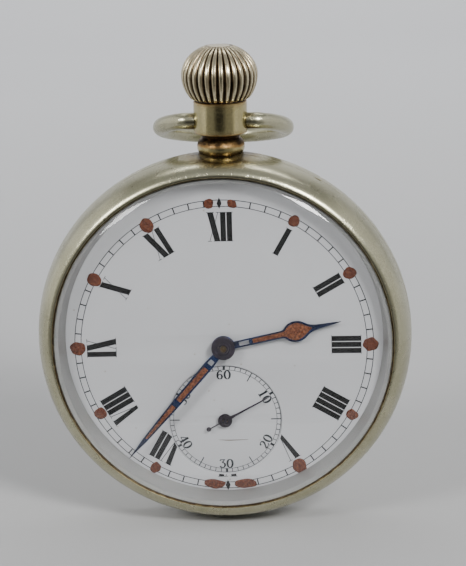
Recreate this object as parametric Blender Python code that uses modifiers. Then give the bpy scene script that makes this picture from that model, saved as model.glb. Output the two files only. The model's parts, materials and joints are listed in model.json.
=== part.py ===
"""Open face pocket watch: case with pendant, bow and crown, dial with hands, and the movement behind it.

The watch stands upright: +Z points to 12 o'clock, +X to 3 o'clock, and the dial faces -Y.
The origin is at the centre of the flat back. Every size below is in millimetres.
Depths ("low", "high" and the second number of a dial-side profile) are measured from the flat back
towards the dial, so a depth d is at y = -d.
"""

import math

import bmesh
import bpy

MM = 0.001
WELD = 1e-6  # metres, far below the smallest feature
CASE_STEPS = 40  # facets round the large turned pieces

# ---------------------------------------------------------------- driving dimensions
CASE_RADIUS = 25.7
RIM_DEPTH = 6.1  # plane of the widest radius
BACK_SEAM = 4.6
BEZEL_SEAM = 7.6
BEZEL_FRONT = 12.3
BACK_FLAT_RADIUS = 14.0
BACK_WALL = 0.7
CASE_BORE = 22.1
CRYSTAL_RADIUS = 22.95

STEM_DEPTH = 5.9  # depth of the pendant, crown and stem axis
PENDANT_RADIUS = 3.62
PENDANT_TOP = 32.6
PENDANT_BORE = 2.3
CROWN_LOW = 32.8
CROWN_EQUATOR = 36.05
CROWN_HIGH = 40.0
CROWN_RADIUS = 5.16
CROWN_FLUTES = 32
CROWN_FLUTE_DEPTH = 0.42
CROWN_NECK = 3.5
CROWN_CAP = 1.95  # radius of the flat top
CROWN_UNDER = 4.93  # half height of the ellipse that shapes the lower half
STEM_RADIUS = 0.6

BOW_HEIGHT = 29.75  # pivot axis above the case centre
BOW_WIRE = 1.17
BOW_RING = 8.58
BOW_REACH = 7.0  # pivot to the centre of the ring
BOW_FILLET = 1.6
BOW_PIN = 0.7
BOW_REST_DEG = 107.5  # swung back from upright

MOVEMENT_DROP = 0.8  # the dial sits this much low in the case
DIAL_RADIUS = 22.1
DIAL_LOW = 8.6
DIAL_FACE = 9.3
HOUR_HAND_LOW = 9.85
HOUR_HAND_HIGH = 10.05
MINUTE_HAND_LOW = 10.35
MINUTE_HAND_HIGH = 10.55
SECONDS_HAND_LOW = 9.5
SECONDS_HAND_HIGH = 9.65
SECONDS_OFFSET = 10.6
SECONDS_WELL = 7.85
SECONDS_FACE = 9.05

HOUR_HAND_DEG = 77.4  # clockwise from 12
MINUTE_HAND_DEG = 220.3
SECONDS_HAND_DEG = 61.1

PLATE_RADIUS = 21.2
PLATE_LOW = 6.0
PLATE_HIGH = 7.4
BRIDGE_RADIUS = 19.9
BRIDGE_LOW = 2.1
BRIDGE_HIGH = 3.3
FOOT_END = 5.95
WHEEL_LOW = 1.5  # ratchet and crown wheel on the bridge
WHEEL_HIGH = 2.0

# Wheel centres, from the centre of the movement, x towards 3 and y towards 12.
CENTRE = (0.0, 0.0)
BARREL = (-6.6, 6.1)
THIRD = (3.86, -6.08)
FOURTH = (0.0, -SECONDS_OFFSET)
ESCAPE = (-4.11, -8.03)
PALLET = (-7.86, -7.85)
BALANCE = (-13.0, -7.6)
MINUTE_WHEEL = (1.8, 3.12)
CROWN_WHEEL = (0.0, 12.219)
CLICK = (-10.2, 12.34)

HINGE_Z = -25.3
HINGE_DEPTH = 4.6
KNUCKLE_RADIUS = 0.75
KNUCKLE_HALF = 1.6
KNUCKLE_END = 3.2
HINGE_HOLE = 0.4
HINGE_PIN = 0.34
RUNNING = 0.05  # clearance on a radius


# ---------------------------------------------------------------- scene and materials
def clear_scene():
    for thing in list(bpy.data.objects):
        bpy.data.objects.remove(thing)


def collection(name):
    made = bpy.data.collections.new(name)
    bpy.context.scene.collection.children.link(made)
    return made


clear_scene()
PARTS = collection("open_face_pocket_watch")
CUTTERS = collection("cutters")


def material(name, colour, metallic, roughness):
    made = bpy.data.materials.new(name)
    made.use_nodes = True
    shader = made.node_tree.nodes["Principled BSDF"]
    shader.inputs["Base Color"].default_value = (*colour, 1.0)
    shader.inputs["Metallic"].default_value = metallic
    shader.inputs["Roughness"].default_value = roughness
    made.diffuse_color = (*colour, 1.0)
    return made


FINISHES = {
    "nickel_silver": ((0.60, 0.58, 0.50), 1.0, 0.35),
    "glass": ((0.85, 0.90, 0.90), 0.0, 0.05),
    "enamel": ((0.88, 0.89, 0.92), 0.0, 0.15),
    "blued_steel": ((0.03, 0.04, 0.12), 1.0, 0.25),
    "gilt_brass": ((0.80, 0.60, 0.28), 1.0, 0.30),
    "steel": ((0.55, 0.56, 0.58), 1.0, 0.25),
    "nickel_plate": ((0.70, 0.70, 0.68), 1.0, 0.30),
}


def finished(thing, finish):
    """Gives each piece a material of its own, named for the piece."""
    thing.data.materials.clear()
    thing.data.materials.append(material(f"{thing.name}_{finish}", *FINISHES[finish]))


def empty(name, parent=None, location=(0, 0, 0), rotation=(0, 0, 0)):
    made = bpy.data.objects.new(name, None)
    CUTTERS.objects.link(made)
    made.hide_render = True
    made.parent = parent
    made.location = [value * MM for value in location]
    made.rotation_euler = rotation
    return made


# Under CASE_FRAME, x is towards 3 o'clock, y towards 12 and z the depth.
CASE_FRAME = empty("case_frame", rotation=(math.radians(90), 0, 0))
MOVEMENT = empty("movement_frame", CASE_FRAME, location=(0, -MOVEMENT_DROP, 0))
STEM_AXIS = empty("stem_axis", location=(0, -STEM_DEPTH, 0))
COVER_HINGE = empty("cover_hinge", CASE_FRAME, location=(0, HINGE_Z, HINGE_DEPTH))
BOW_PIVOT = empty(
    "bow_pivot", location=(0, -STEM_DEPTH, BOW_HEIGHT), rotation=(-math.radians(BOW_REST_DEG), 0, 0)
)
ALONG_X = (0, math.radians(90), 0)


def placed(name, mesh, finish, parent, at=(0, 0, 0), turn=0.0):
    """An object in its collection: a piece of the watch, or a cutter when it has no finish."""
    thing = bpy.data.objects.new(name, mesh)
    thing.parent = parent
    thing.location = [value * MM for value in at]
    thing.rotation_euler = (0, 0, turn)
    if finish:
        PARTS.objects.link(thing)
        finished(thing, finish)
        mesh.shade_smooth()
        mesh.set_sharp_from_angle(angle=math.radians(35))
    else:
        CUTTERS.objects.link(thing)
        thing.hide_render = True
        thing.display_type = "WIRE"
    return thing


# ---------------------------------------------------------------- shapes
def signed_area(points):
    pairs = zip(points, points[1:] + points[:1])
    return sum(a[0] * b[1] - b[0] * a[1] for a, b in pairs) / 2


def turned(name, profile, finish, parent=None, at=(0, 0, 0), steps=32):
    """A profile of (radius, height) points turned about the local Z axis."""
    parent = parent or CASE_FRAME
    points = list(profile)
    if signed_area(points) > 0:
        points.reverse()
    open_ended = points[0][0] == 0 and points[-1][0] == 0
    if not open_ended and any(radius == 0 for radius, _ in points):
        start = next(i for i, p in enumerate(points) if p[0] == 0 and points[i - 1][0] == 0)
        points = points[start:] + points[:start]
        open_ended = True
    shape = bmesh.new()
    corners = [shape.verts.new((radius * MM, 0, height * MM)) for radius, height in points]
    for first, second in zip(corners, corners[1:]):
        shape.edges.new((first, second))
    if not open_ended:
        shape.edges.new((corners[-1], corners[0]))
    mesh = bpy.data.meshes.new(name)
    shape.to_mesh(mesh)
    shape.free()
    thing = placed(name, mesh, finish, parent, at)
    screw = thing.modifiers.new("turn", "SCREW")
    screw.steps = screw.render_steps = steps
    screw.use_merge_vertices = True
    screw.merge_threshold = WELD
    screw.use_smooth_shade = True
    return thing


def disc(name, radius, low, high, finish, parent=None, at=(0, 0, 0), steps=24):
    return turned(name, [(0, high), (radius, high), (radius, low), (0, low)], finish, parent, at, steps)


def meshed_curve(name, curve):
    """The mesh of a curve, with its loose caps welded on."""
    holder = bpy.data.objects.new(name + "_curve", curve)
    CUTTERS.objects.link(holder)
    graph = bpy.context.evaluated_depsgraph_get()
    mesh = bpy.data.meshes.new_from_object(holder.evaluated_get(graph))
    mesh.name = name
    bpy.data.objects.remove(holder)
    shape = bmesh.new()
    shape.from_mesh(mesh)
    bmesh.ops.remove_doubles(shape, verts=shape.verts, dist=WELD)
    bmesh.ops.recalc_face_normals(shape, faces=shape.faces)
    shape.to_mesh(mesh)
    shape.free()
    return mesh


def poly_curve(name, splines, closed, dimensions):
    curve = bpy.data.curves.new(name, "CURVE")
    curve.dimensions = dimensions
    for points in splines:
        spline = curve.splines.new("POLY")
        spline.points.add(len(points) - 1)
        for slot, point in zip(spline.points, points):
            x, y, z = (*point, 0.0)[:3]
            slot.co = (x * MM, y * MM, z * MM, 1.0)
        spline.use_cyclic_u = closed
    return curve


def flat(name, outlines, low, high, finish, parent=None, at=(0, 0), turn=0.0):
    """A sheet of the first outline with the others as holes, from one height to the other."""
    parent = parent or MOVEMENT
    curve = poly_curve(name, outlines, True, "2D")
    curve.fill_mode = "BOTH"
    curve.extrude = (high - low) / 2 * MM
    mesh = meshed_curve(name, curve)
    return placed(name, mesh, finish, parent, (*at, (low + high) / 2), turn)


def wire(name, points, radius, finish, parent, sides=0, closed=False, at=(0, 0, 0)):
    """A round wire along points; sides is the curve's bevel resolution."""
    curve = poly_curve(name, [points], closed, "3D")
    curve.bevel_depth = radius * MM
    curve.bevel_resolution = sides
    curve.use_fill_caps = True
    return placed(name, meshed_curve(name, curve), finish, parent, at)


def boolean(target, other, operation="DIFFERENCE"):
    step = target.modifiers.new(other.name, "BOOLEAN")
    step.operation = operation
    step.object = other
    return target


def polar(radius, degrees, centre=(0, 0)):
    angle = math.radians(degrees)
    return (centre[0] + radius * math.cos(angle), centre[1] + radius * math.sin(angle))


def circle(radius, centre=(0, 0), count=16):
    return [polar(radius, 360 * step / count, centre) for step in range(count)]


def arc(radius, start, end, count, centre=(0, 0)):
    return [polar(radius, start + (end - start) * i / (count - 1), centre) for i in range(count)]


def heading(start, end):
    return math.degrees(math.atan2(end[1] - start[1], end[0] - start[0]))


def teeth(count, tip, root, first=0.0, foot=0.22, land=0.0):
    """The outline of a gear whose first tooth points at an angle; foot and land are shares of a pitch."""
    pitch = 360 / count
    top = [(tip, -land), (tip, land)] if land else [(tip, 0)]
    corners = [(root, -foot), *top, (root, foot)]
    return [
        polar(radius, first + (tooth + share) * pitch)
        for tooth in range(count)
        for radius, share in corners
    ]


def saw_teeth(count, tip, root, first=0.0):
    pitch = 360 / count
    return [
        polar(radius, first + (tooth + share) * pitch)
        for tooth in range(count)
        for radius, share in ((tip, 0.0), (root, 0.15))
    ]


def windows(count, inner, outer, spoke, first=0.0):
    """Openings between the spokes of a wheel, each four straight sides with a bowed rim side."""
    made = []
    for index in range(count):
        middle = first + 360 * (index + 0.5) / count
        far = 180 / count - math.degrees(spoke / 2 / outer)
        near = 180 / count - math.degrees(spoke / 2 / inner)
        made.append(arc(outer, middle - far, middle + far, 4) + arc(inner, middle + near, middle - near, 2))
    return made


# ---------------------------------------------------------------- case
def rim_curve(start, end, radius_share, depth_share, centre, count):
    """Points on a quarter ellipse about (centre, RIM_DEPTH),
    at angles in degrees above the rim plane."""
    made = []
    for step in range(count):
        angle = math.radians(start + (end - start) * step / (count - 1))
        made.append((centre + radius_share * math.cos(angle), RIM_DEPTH + depth_share * math.sin(angle)))
    return made


BEZEL_LIP = 23.3
BEZEL_ROLL = CASE_RADIUS - BEZEL_LIP
BEZEL_RISE = BEZEL_FRONT - RIM_DEPTH
BACK_ROLL = CASE_RADIUS - BACK_FLAT_RADIUS
bezel_seam_angle = math.degrees(math.asin((BEZEL_SEAM - RIM_DEPTH) / BEZEL_RISE))
back_seam_angle = math.degrees(math.asin((BACK_SEAM - RIM_DEPTH) / RIM_DEPTH))


def knuckle(name, start, end, radius, finish=None):
    """A cylinder along the back cover's hinge, which adds or cuts unless it has a finish."""
    bar = disc(name, radius, start, end, finish, COVER_HINGE, steps=20)
    bar.rotation_euler = ALONG_X
    return bar


def case_middle():
    front = rim_curve(bezel_seam_angle, 0, BEZEL_ROLL, BEZEL_RISE, BEZEL_LIP, 2)
    back = rim_curve(0, back_seam_angle, BACK_ROLL, RIM_DEPTH, BACK_FLAT_RADIUS, 2)[1:]
    front[0] = (front[0][0], BEZEL_SEAM - RUNNING)
    back[-1] = (back[-1][0], BACK_SEAM + RUNNING)
    neck = [(23.8, BACK_SEAM + RUNNING), (23.8, 3.9), (CASE_BORE, 3.9)]
    ledge = [(CASE_BORE, 4.8), (20.0, 4.8), (20.0, 5.85), (CASE_BORE, 5.85)]
    collar = [(CASE_BORE, 8.3), (23.2, 8.3), (23.2, 8.5), (24.0, 8.5), (24.0, BEZEL_SEAM - RUNNING)]
    ring = turned("case_middle", front + back + neck + ledge + collar, "nickel_silver", steps=CASE_STEPS)
    stem_hole = disc("stem_hole", 1.25, 18, 28, None, STEM_AXIS)
    boolean(ring, stem_hole)
    boolean(ring, knuckle("case_knuckle", -KNUCKLE_HALF, KNUCKLE_HALF, KNUCKLE_RADIUS), "UNION")
    for side, name in ((-1, "left"), (1, "right")):
        ends = sorted((side * (KNUCKLE_HALF + 0.05), side * (KNUCKLE_END + 0.15)))
        boolean(ring, knuckle(f"case_gap_{name}", *ends, KNUCKLE_RADIUS + 0.15))
    boolean(ring, knuckle("case_pin_hole", -KNUCKLE_END - 1, KNUCKLE_END + 1, HINGE_HOLE))
    return ring


def back_cover():
    outer = rim_curve(back_seam_angle, -90, BACK_ROLL, RIM_DEPTH, BACK_FLAT_RADIUS, 8)
    inner = rim_curve(-90, -16.13, BACK_ROLL - BACK_WALL, RIM_DEPTH - BACK_WALL, BACK_FLAT_RADIUS, 5)
    profile = outer + [(0, 0), (0, BACK_WALL)] + inner
    from_hinge = (0, -HINGE_Z, -HINGE_DEPTH)
    cover = turned("back_cover", profile, "nickel_silver", COVER_HINGE, from_hinge, CASE_STEPS)
    boolean(cover, knuckle("cover_gap", -KNUCKLE_HALF - 0.1, KNUCKLE_HALF + 0.1, KNUCKLE_RADIUS + 0.15))
    for side, name in ((-1, "left"), (1, "right")):
        ends = sorted((side * (KNUCKLE_HALF + 0.15), side * KNUCKLE_END))
        boolean(cover, knuckle(f"cover_knuckle_{name}", *ends, KNUCKLE_RADIUS), "UNION")
    boolean(cover, knuckle("cover_pin_hole", -KNUCKLE_END - 1, KNUCKLE_END + 1, HINGE_HOLE))
    return cover


def hinge_pin():
    knuckle("hinge_pin", -KNUCKLE_END, KNUCKLE_END, HINGE_PIN, "steel")


def bezel():
    outer = rim_curve(84, bezel_seam_angle, BEZEL_ROLL, BEZEL_RISE, BEZEL_LIP, 6)
    seat = [(23.7, BEZEL_SEAM), (24.1, BEZEL_SEAM), (24.1, 8.6), (23.3, 8.6), (23.3, DIAL_FACE + 0.05)]
    rehaut = [(21.42, DIAL_FACE + 0.05), (22.25, 11.5), (23.05, 11.5), (23.1, 12.1)]
    return turned("bezel", outer + seat[1:] + rehaut, "nickel_silver", steps=CASE_STEPS)


def crystal():
    """A lentille chevee glass: nearly flat, with a steep rounded edge."""
    radii = [0, 12.0, 18.0, 20.5, 21.8, 22.5, CRYSTAL_RADIUS]
    shares = [radius / CRYSTAL_RADIUS for radius in radii]
    outer = [(radius, 12.05 + 0.95 * (1 - share**24)) for radius, share in zip(radii, shares)]
    inner = [(radius, 11.6 + 0.6 * (1 - share**4)) for radius, share in zip(radii, shares)]
    return turned("crystal", outer + inner[::-1], "glass", steps=CASE_STEPS)


def pendant():
    """A tube over a narrow neck and a bulb, with a stub that enters the case."""
    outer = [(PENDANT_RADIUS - 0.1, PENDANT_TOP), (PENDANT_RADIUS, PENDANT_TOP - 0.1)]
    outer += [(PENDANT_RADIUS, 28.5), (3.4, 28.18), (2.8, 28.1), (2.7, 27.7)]
    bulb = arc(0.95, 60, -85, 6, (2.28, 26.72))
    stub = [(1.2, 25.8), (1.2, 22.6), (0.8, 22.6), (0.8, 27.6)]
    bore = [(PENDANT_BORE, 27.7), (PENDANT_BORE, PENDANT_TOP)]
    body = turned("pendant", outer + bulb + stub + bore, "nickel_silver", STEM_AXIS, steps=24)
    bow_hole = disc("bow_hole", BOW_PIN + 0.08, -5, 5, None, BOW_PIVOT, steps=20)
    bow_hole.rotation_euler = ALONG_X
    return boolean(body, bow_hole)


def pendant_sleeve():
    profile = [(0.72, 32.4), (2.22, 32.4), (2.22, 31.2), (2.22, 27.9), (0.72, 27.9)]
    turned("pendant_sleeve", profile, "steel", STEM_AXIS, steps=20)


def bow():
    """A ring with straight ends along the pivot axis; its local origin is on that axis."""
    bend_x = math.sqrt((BOW_RING - BOW_FILLET) ** 2 - (BOW_REACH - BOW_FILLET) ** 2)
    touch = math.degrees(math.atan2(BOW_FILLET - BOW_REACH, bend_x))
    half = [(PENDANT_RADIUS + 0.1, 0), (bend_x, 0)]
    half += arc(BOW_FILLET, -90, touch, 4, (bend_x, BOW_FILLET))[1:]
    half += arc(BOW_RING, touch, 90, 14, (0, BOW_REACH))[1:]
    points = [(x, 0, z) for x, z in half] + [(-x, 0, z) for x, z in half[-2::-1]]
    ring = wire("bow", points, BOW_WIRE, "nickel_silver", BOW_PIVOT, sides=3)
    for side, name in ((-1, "left"), (1, "right")):
        ends = sorted((side * 2.6, side * 4.6))
        pin = disc(f"bow_end_{name}", BOW_PIN, *ends, None, BOW_PIVOT, steps=16)
        pin.rotation_euler = ALONG_X
        boolean(ring, pin, "UNION")
    return ring


def crown_profile():
    """(radius of a ridge, height) up the crown: two half ellipses that meet at its widest."""
    low_turn = math.asin((CROWN_LOW - CROWN_EQUATOR) / CROWN_UNDER)
    top_turn = math.acos(CROWN_CAP / CROWN_RADIUS)
    rise = (CROWN_HIGH - CROWN_EQUATOR) / math.sin(top_turn)
    levels = [(CROWN_NECK, CROWN_LOW)]
    for share in (0.9, 0.6, 0.3, 0.0):
        turn = low_turn * share
        levels.append((CROWN_RADIUS * math.cos(turn), CROWN_EQUATOR + CROWN_UNDER * math.sin(turn)))
    for share in (0.25, 0.5, 0.75, 1.0):
        turn = top_turn * share
        levels.append((CROWN_RADIUS * math.cos(turn), CROWN_EQUATOR + rise * math.sin(turn)))
    return levels


def crown():
    shape = bmesh.new()
    rings = []
    for radius, height in crown_profile():
        depth = CROWN_FLUTE_DEPTH * min(1, radius / 4)
        ring = []
        for step in range(2 * CROWN_FLUTES):
            reach = radius - (depth if step % 2 else 0)
            x, y = polar(reach, 180 * step / CROWN_FLUTES)
            ring.append(shape.verts.new((x * MM, y * MM, height * MM)))
        rings.append(ring)
    count = 2 * CROWN_FLUTES
    for lower, upper in zip(rings, rings[1:]):
        for step in range(count):
            after = (step + 1) % count
            shape.faces.new((lower[step], lower[after], upper[after], upper[step]))
    shape.faces.new(rings[0][::-1])
    shape.faces.new(rings[-1])
    mesh = bpy.data.meshes.new("crown")
    shape.to_mesh(mesh)
    shape.free()
    knob = placed("crown", mesh, "nickel_silver", STEM_AXIS)
    boolean(knob, disc("crown_bore", STEM_RADIUS + RUNNING, 30, 39.2, None, STEM_AXIS))
    return knob


def winding_stem():
    profile = [(0, 39.1), (STEM_RADIUS, 39.1), (STEM_RADIUS, 12.6), (0.35, 12.2), (0, 12.2)]
    turned("winding_stem", profile, "steel", STEM_AXIS, steps=16)


# ---------------------------------------------------------------- dial and hands
def dial():
    face = flat(
        "dial",
        [circle(DIAL_RADIUS, count=CASE_STEPS), circle(1.4), circle(SECONDS_WELL, FOURTH, 36)],
        DIAL_LOW,
        DIAL_FACE,
        "enamel",
    )
    seconds = flat(
        "seconds_dial",
        [circle(SECONDS_WELL - 0.1, count=36), circle(0.6, count=12)],
        DIAL_LOW,
        SECONDS_FACE,
        "enamel",
        at=FOURTH,
    )
    return face, seconds


def hand_outline(hub, half_widths):
    """A hub circle running into a blade; half_widths are (distance from the hub's centre, half width)."""
    start, width = half_widths[0]
    angle = math.degrees(math.atan2(start, width))
    hub_arc = arc(hub, 180 - angle, 360 + angle, 14)
    up = [(width, reach) for reach, width in half_widths]
    down = [(-width, reach) for reach, width in reversed(half_widths)]
    if half_widths[-1][1] == 0:
        down = down[1:]
    return hub_arc + up + down


def slot(low, high, low_half, high_half):
    return [(low_half, low), (high_half, high), (-high_half, high), (-low_half, low)]


def hour_hand():
    blade = [(1.58, 0.5), (8.1, 0.52), (8.7, 0.75), (9.2, 1.2), (9.9, 1.42), (10.6, 1.42), (11.2, 1.18)]
    blade += [(11.9, 0.65), (12.9, 0.36), (14.2, 0.24), (16.5, 0)]
    bulb = [(0.28, 4.1), (0.32, 8.3), (0.8, 9.2), (1.14, 9.9), (1.14, 10.5), (0.8, 11.2), (0.2, 12.1)]
    inlay = bulb + [(-x, y) for x, y in reversed(bulb)]
    outlines = [hand_outline(1.63, blade), circle(1.2), slot(2.2, 3.6, 0.26, 0.28), inlay]
    turn = -math.radians(HOUR_HAND_DEG)
    flat("hour_hand", outlines, HOUR_HAND_LOW, HOUR_HAND_HIGH, "blued_steel", turn=turn)


def minute_hand():
    blade = [(1.3, 0.5), (3.0, 0.66), (10.0, 0.58), (17.0, 0.36), (18.5, 0.2), (20.5, 0)]
    outlines = [hand_outline(1.4, blade), circle(0.75, count=12), slot(2.2, 3.0, 0.34, 0.38)]
    outlines += [slot(3.7, 9.8, 0.42, 0.34), slot(10.8, 16.9, 0.33, 0.16)]
    turn = -math.radians(MINUTE_HAND_DEG)
    flat("minute_hand", outlines, MINUTE_HAND_LOW, MINUTE_HAND_HIGH, "blued_steel", turn=turn)


def seconds_hand():
    """A needle, a hub and a counterpoise disc in one outline, which runs anticlockwise."""
    blade = [(0.22, 0.95), (0.17, 4.0), (0.05, 7.0)]
    foot = heading((0, 0), blade[0])
    outline = blade + [(-x, y) for x, y in reversed(blade)]
    outline += arc(0.98, 180 - foot, 263, 6)[1:]
    outline += arc(0.33, 112, 428, 7, (0, -2.6))
    outline += arc(0.98, 277, 360 + foot, 6)[:-1]
    turn = -math.radians(SECONDS_HAND_DEG)
    outlines = [outline, circle(0.34, count=10)]
    flat("seconds_hand", outlines, SECONDS_HAND_LOW, SECONDS_HAND_HIGH, "blued_steel", at=FOURTH, turn=turn)


# ---------------------------------------------------------------- motion works
def cannon_pinion():
    pinion = flat(
        "cannon_pinion",
        [teeth(12, 1.02, 0.72, heading(CENTRE, MINUTE_WHEEL) + 15, 0.24, 0.1), circle(0.5, count=12)],
        
        7.5,
        7.8,
        "steel",
    )
    pipe = [(0.5, 10.7), (0.7, 10.7), (0.7, 7.6), (0.5, 7.6)]
    boolean(pinion, turned("cannon_pipe", pipe, None, MOVEMENT, steps=16), "UNION")


def minute_wheel():
    tooth = heading(MINUTE_WHEEL, CENTRE)
    wheel = flat(
        "minute_wheel", [teeth(36, 2.83, 2.5, tooth), circle(0.42, count=12)],
        7.5, 7.8, "gilt_brass", at=MINUTE_WHEEL
    )
    pinion = flat(
        "minute_wheel_pinion",
        [teeth(10, 0.85, 0.55, tooth + 18, 0.22, 0.1), circle(0.42, count=12)],
        7.7,
        8.25,
        None,
        at=MINUTE_WHEEL,
    )
    boolean(wheel, pinion, "UNION")


def hour_wheel():
    tooth = heading(CENTRE, MINUTE_WHEEL)
    wheel = flat(
        "hour_wheel", [teeth(40, 3.0, 2.68, tooth), circle(0.8, count=16)], 7.95, 8.25, "gilt_brass"
    )
    pipe = [(0.8, 10.1), (1.12, 10.1), (1.12, 8.0), (0.8, 8.0)]
    boolean(wheel, turned("hour_pipe", pipe, None, MOVEMENT, steps=16), "UNION")


# ---------------------------------------------------------------- plates and bridges
CASE_SCREWS = [(19.1, -2.7), (-19.0, -3.35)]
BARREL_FEET = [(12.5, 10.0, 1.9), (-4.2, 18.0, 1.4), (-17.8, 0.6, 1.5)]
TRAIN_FEET = [(12.5, -9.0, 1.6), (3.5, -16.6, 1.4)]
COCK_FOOT = (-6.3, -15.6, 1.9)
SCREW_HOLE = 0.45


def add_feet(plate, feet, bottom):
    for index, (x, y, radius) in enumerate(feet):
        foot = disc(
            f"{plate.name}_foot_{index}", radius, bottom - 0.1,
            FOOT_END, None, MOVEMENT, (x, y, 0), 20
        )
        boolean(plate, foot, "UNION")


def main_plate():
    holes = [circle(0.62), circle(0.68, BARREL), circle(0.3, THIRD, 12), circle(0.42, FOURTH, 12)]
    holes += [circle(0.3, ESCAPE, 12), circle(0.3, PALLET, 12), circle(0.3, BALANCE, 12)]
    holes += [circle(0.5, place, 12) for place in CASE_SCREWS]
    holes += [[(-2.2, 14.2), (2.2, 14.2), (2.2, 16.4), (-2.2, 16.4)]]
    plate = flat(
        "main_plate", [circle(PLATE_RADIUS, count=CASE_STEPS), *holes],
        PLATE_LOW, PLATE_HIGH, "gilt_brass"
    )
    rim = [(PLATE_RADIUS - 0.05, 8.5), (PLATE_RADIUS - 0.05, 7.3), (20.0, 7.3), (20.0, 8.5)]
    boolean(plate, turned("plate_rim", rim, None, MOVEMENT, steps=CASE_STEPS), "UNION")
    boolean(
        plate, disc("minute_wheel_post", 0.36, 7.3, 8.3, None, MOVEMENT, (*MINUTE_WHEEL, 0), 12),
        "UNION"
    )
    boolean(plate, disc("crown_wheel_post", 0.55, 3.7, 6.1, None, MOVEMENT, (*CROWN_WHEEL, 0), 16), "UNION")
    groove = flat(
        "stem_groove", [[(-0.75, 13.0), (0.75, 13.0), (0.75, 23.0), (-0.75, 23.0)]], 5.9, 6.65, None
    )
    boolean(plate, groove)


def barrel_bridge():
    edge = arc(BRIDGE_RADIUS, 15, 183, 30)
    inner = [(-12.0, -1.2), (-9.5, -2.0), (-2.6, -2.4), (0.2, -2.6), (2.4, -1.4), (3.6, 1.8), (10.5, 4.2)]
    holes = [circle(0.46, CENTRE, 12), circle(0.95, BARREL, 16), circle(3.4, CROWN_WHEEL, 32)]
    holes += [circle(SCREW_HOLE, (x, y), 10) for x, y, _ in BARREL_FEET] + [circle(0.4, CLICK, 10)]
    plate = flat("barrel_bridge", [edge + inner, *holes], BRIDGE_LOW, BRIDGE_HIGH, "nickel_plate")
    add_feet(plate, BARREL_FEET, BRIDGE_HIGH)


def train_bridge():
    edge = arc(BRIDGE_RADIUS, -99, -15, 16)
    inner = [
        (10.5, -3.0), (3.5, -3.4), (-2.8, -4.6), (-5.9, -6.4), (-6.1, -9.4), (-3.6, -11.5), (-3.4, -15.0)
    ]
    holes = [circle(0.3, THIRD, 12), circle(0.3, FOURTH, 12), circle(0.3, ESCAPE, 12)]
    holes += [circle(SCREW_HOLE, (x, y), 10) for x, y, _ in TRAIN_FEET]
    plate = flat("train_bridge", [edge + inner, *holes], BRIDGE_LOW, BRIDGE_HIGH, "nickel_plate")
    add_feet(plate, TRAIN_FEET, BRIDGE_HIGH)


def balance_cock():
    table = arc(1.9, 60, 250, 9, BALANCE)
    foot = arc(2.2, 200, 400, 9, COCK_FOOT[:2])
    holes = [circle(0.3, BALANCE, 12), circle(SCREW_HOLE, COCK_FOOT[:2], 10)]
    plate = flat("balance_cock", [table + foot, *holes], 1.7, 2.6, "nickel_plate")
    add_feet(plate, [COCK_FOOT], 2.6)


def pallet_bridge():
    ends = [(-8.6, -11.6), (-7.4, -4.4)]
    along = heading(*ends)
    outline = arc(0.9, along + 90, along + 270, 7, ends[0]) + arc(0.9, along - 90, along + 90, 7, ends[1])
    plate = flat("pallet_bridge", [outline, circle(0.25, PALLET, 10)], 3.7, 4.3, "nickel_plate")
    add_feet(plate, [(*end, 0.85) for end in ends], 4.3)


def screw(name, place, head_low, head_high, end, head=0.95, shank=0.4, parent=None):
    """A slotted screw whose head faces the back of the watch."""
    profile = [
        (0, end), (shank, end), (shank, head_high), (head, head_high), (head, head_low), (0, head_low)
    ]
    made = turned(name, profile, "steel", parent or MOVEMENT, (*place, 0), 10)
    half, width = head + 0.2, 0.12
    corners = [(-half, -width), (half, -width), (half, width), (-half, width)]
    turn = 3 * math.radians(heading(CENTRE, place))  # the slots stop at any angle
    cutter = flat(f"{name}_slot", [corners], head_low - 0.1, head_low + 0.12, None, at=place, turn=turn)
    boolean(made, cutter)


def screws():
    for index, (x, y, _) in enumerate(BARREL_FEET):
        screw(f"barrel_bridge_screw_{index + 1}", (x, y), 1.7, 2.05, 3.1)
    for index, (x, y, _) in enumerate(TRAIN_FEET):
        screw(f"train_bridge_screw_{index + 1}", (x, y), 1.7, 2.05, 3.1)
    screw("balance_cock_screw", COCK_FOOT[:2], 1.3, 1.65, 2.4)
    for index, place in enumerate(CASE_SCREWS):
        screw(f"case_screw_{index + 1}", place, 4.2, 4.65, 7.2, 1.25, 0.45)


# ---------------------------------------------------------------- barrel and winding work
BARREL_TOOTH = heading(BARREL, CENTRE)


def barrel():
    drum = flat(
        "barrel_drum", [teeth(64, 8.2, 7.75, BARREL_TOOTH), circle(0.9, count=16)],
        5.35, 5.9, "gilt_brass", at=BARREL
    )
    wall = [(7.2, 5.45), (7.2, 4.1), (7.5, 4.1), (7.5, 5.45)]
    boolean(drum, turned("barrel_wall", wall, None, MOVEMENT, (*BARREL, 0), 40), "UNION")
    lid = [(0.95, 4.35), (0.95, 4.1), (7.15, 4.1), (7.15, 4.35)]
    turned("barrel_cover", lid, "gilt_brass", MOVEMENT, (*BARREL, 0), 40)
    core = [
        (0.4, 1.6), (0.85, 1.6), (0.85, 4.4), (1.9, 4.4),
        (1.9, 5.3), (0.85, 5.3), (0.85, 5.95), (0.62, 5.95)
    ]
    core += [(0.62, 7.0), (0, 7.0), (0, 3.0), (0.4, 3.0)]
    turned("barrel_arbor", core, "steel", MOVEMENT, (*BARREL, 0), 20)


def mainspring():
    turns, count, inner, outer, half = 4, 56, 2.1, 6.95, 0.14
    spiral = []
    for step in range(count + 1):
        share = step / count
        spiral.append((inner + (outer - inner) * share**0.8, 360 * turns * share))
    outline = [polar(radius + half, angle) for radius, angle in spiral]
    outline += [polar(radius - half, angle) for radius, angle in reversed(spiral)]
    flat("mainspring", [outline], 4.45, 5.25, "blued_steel", at=BARREL)


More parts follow.
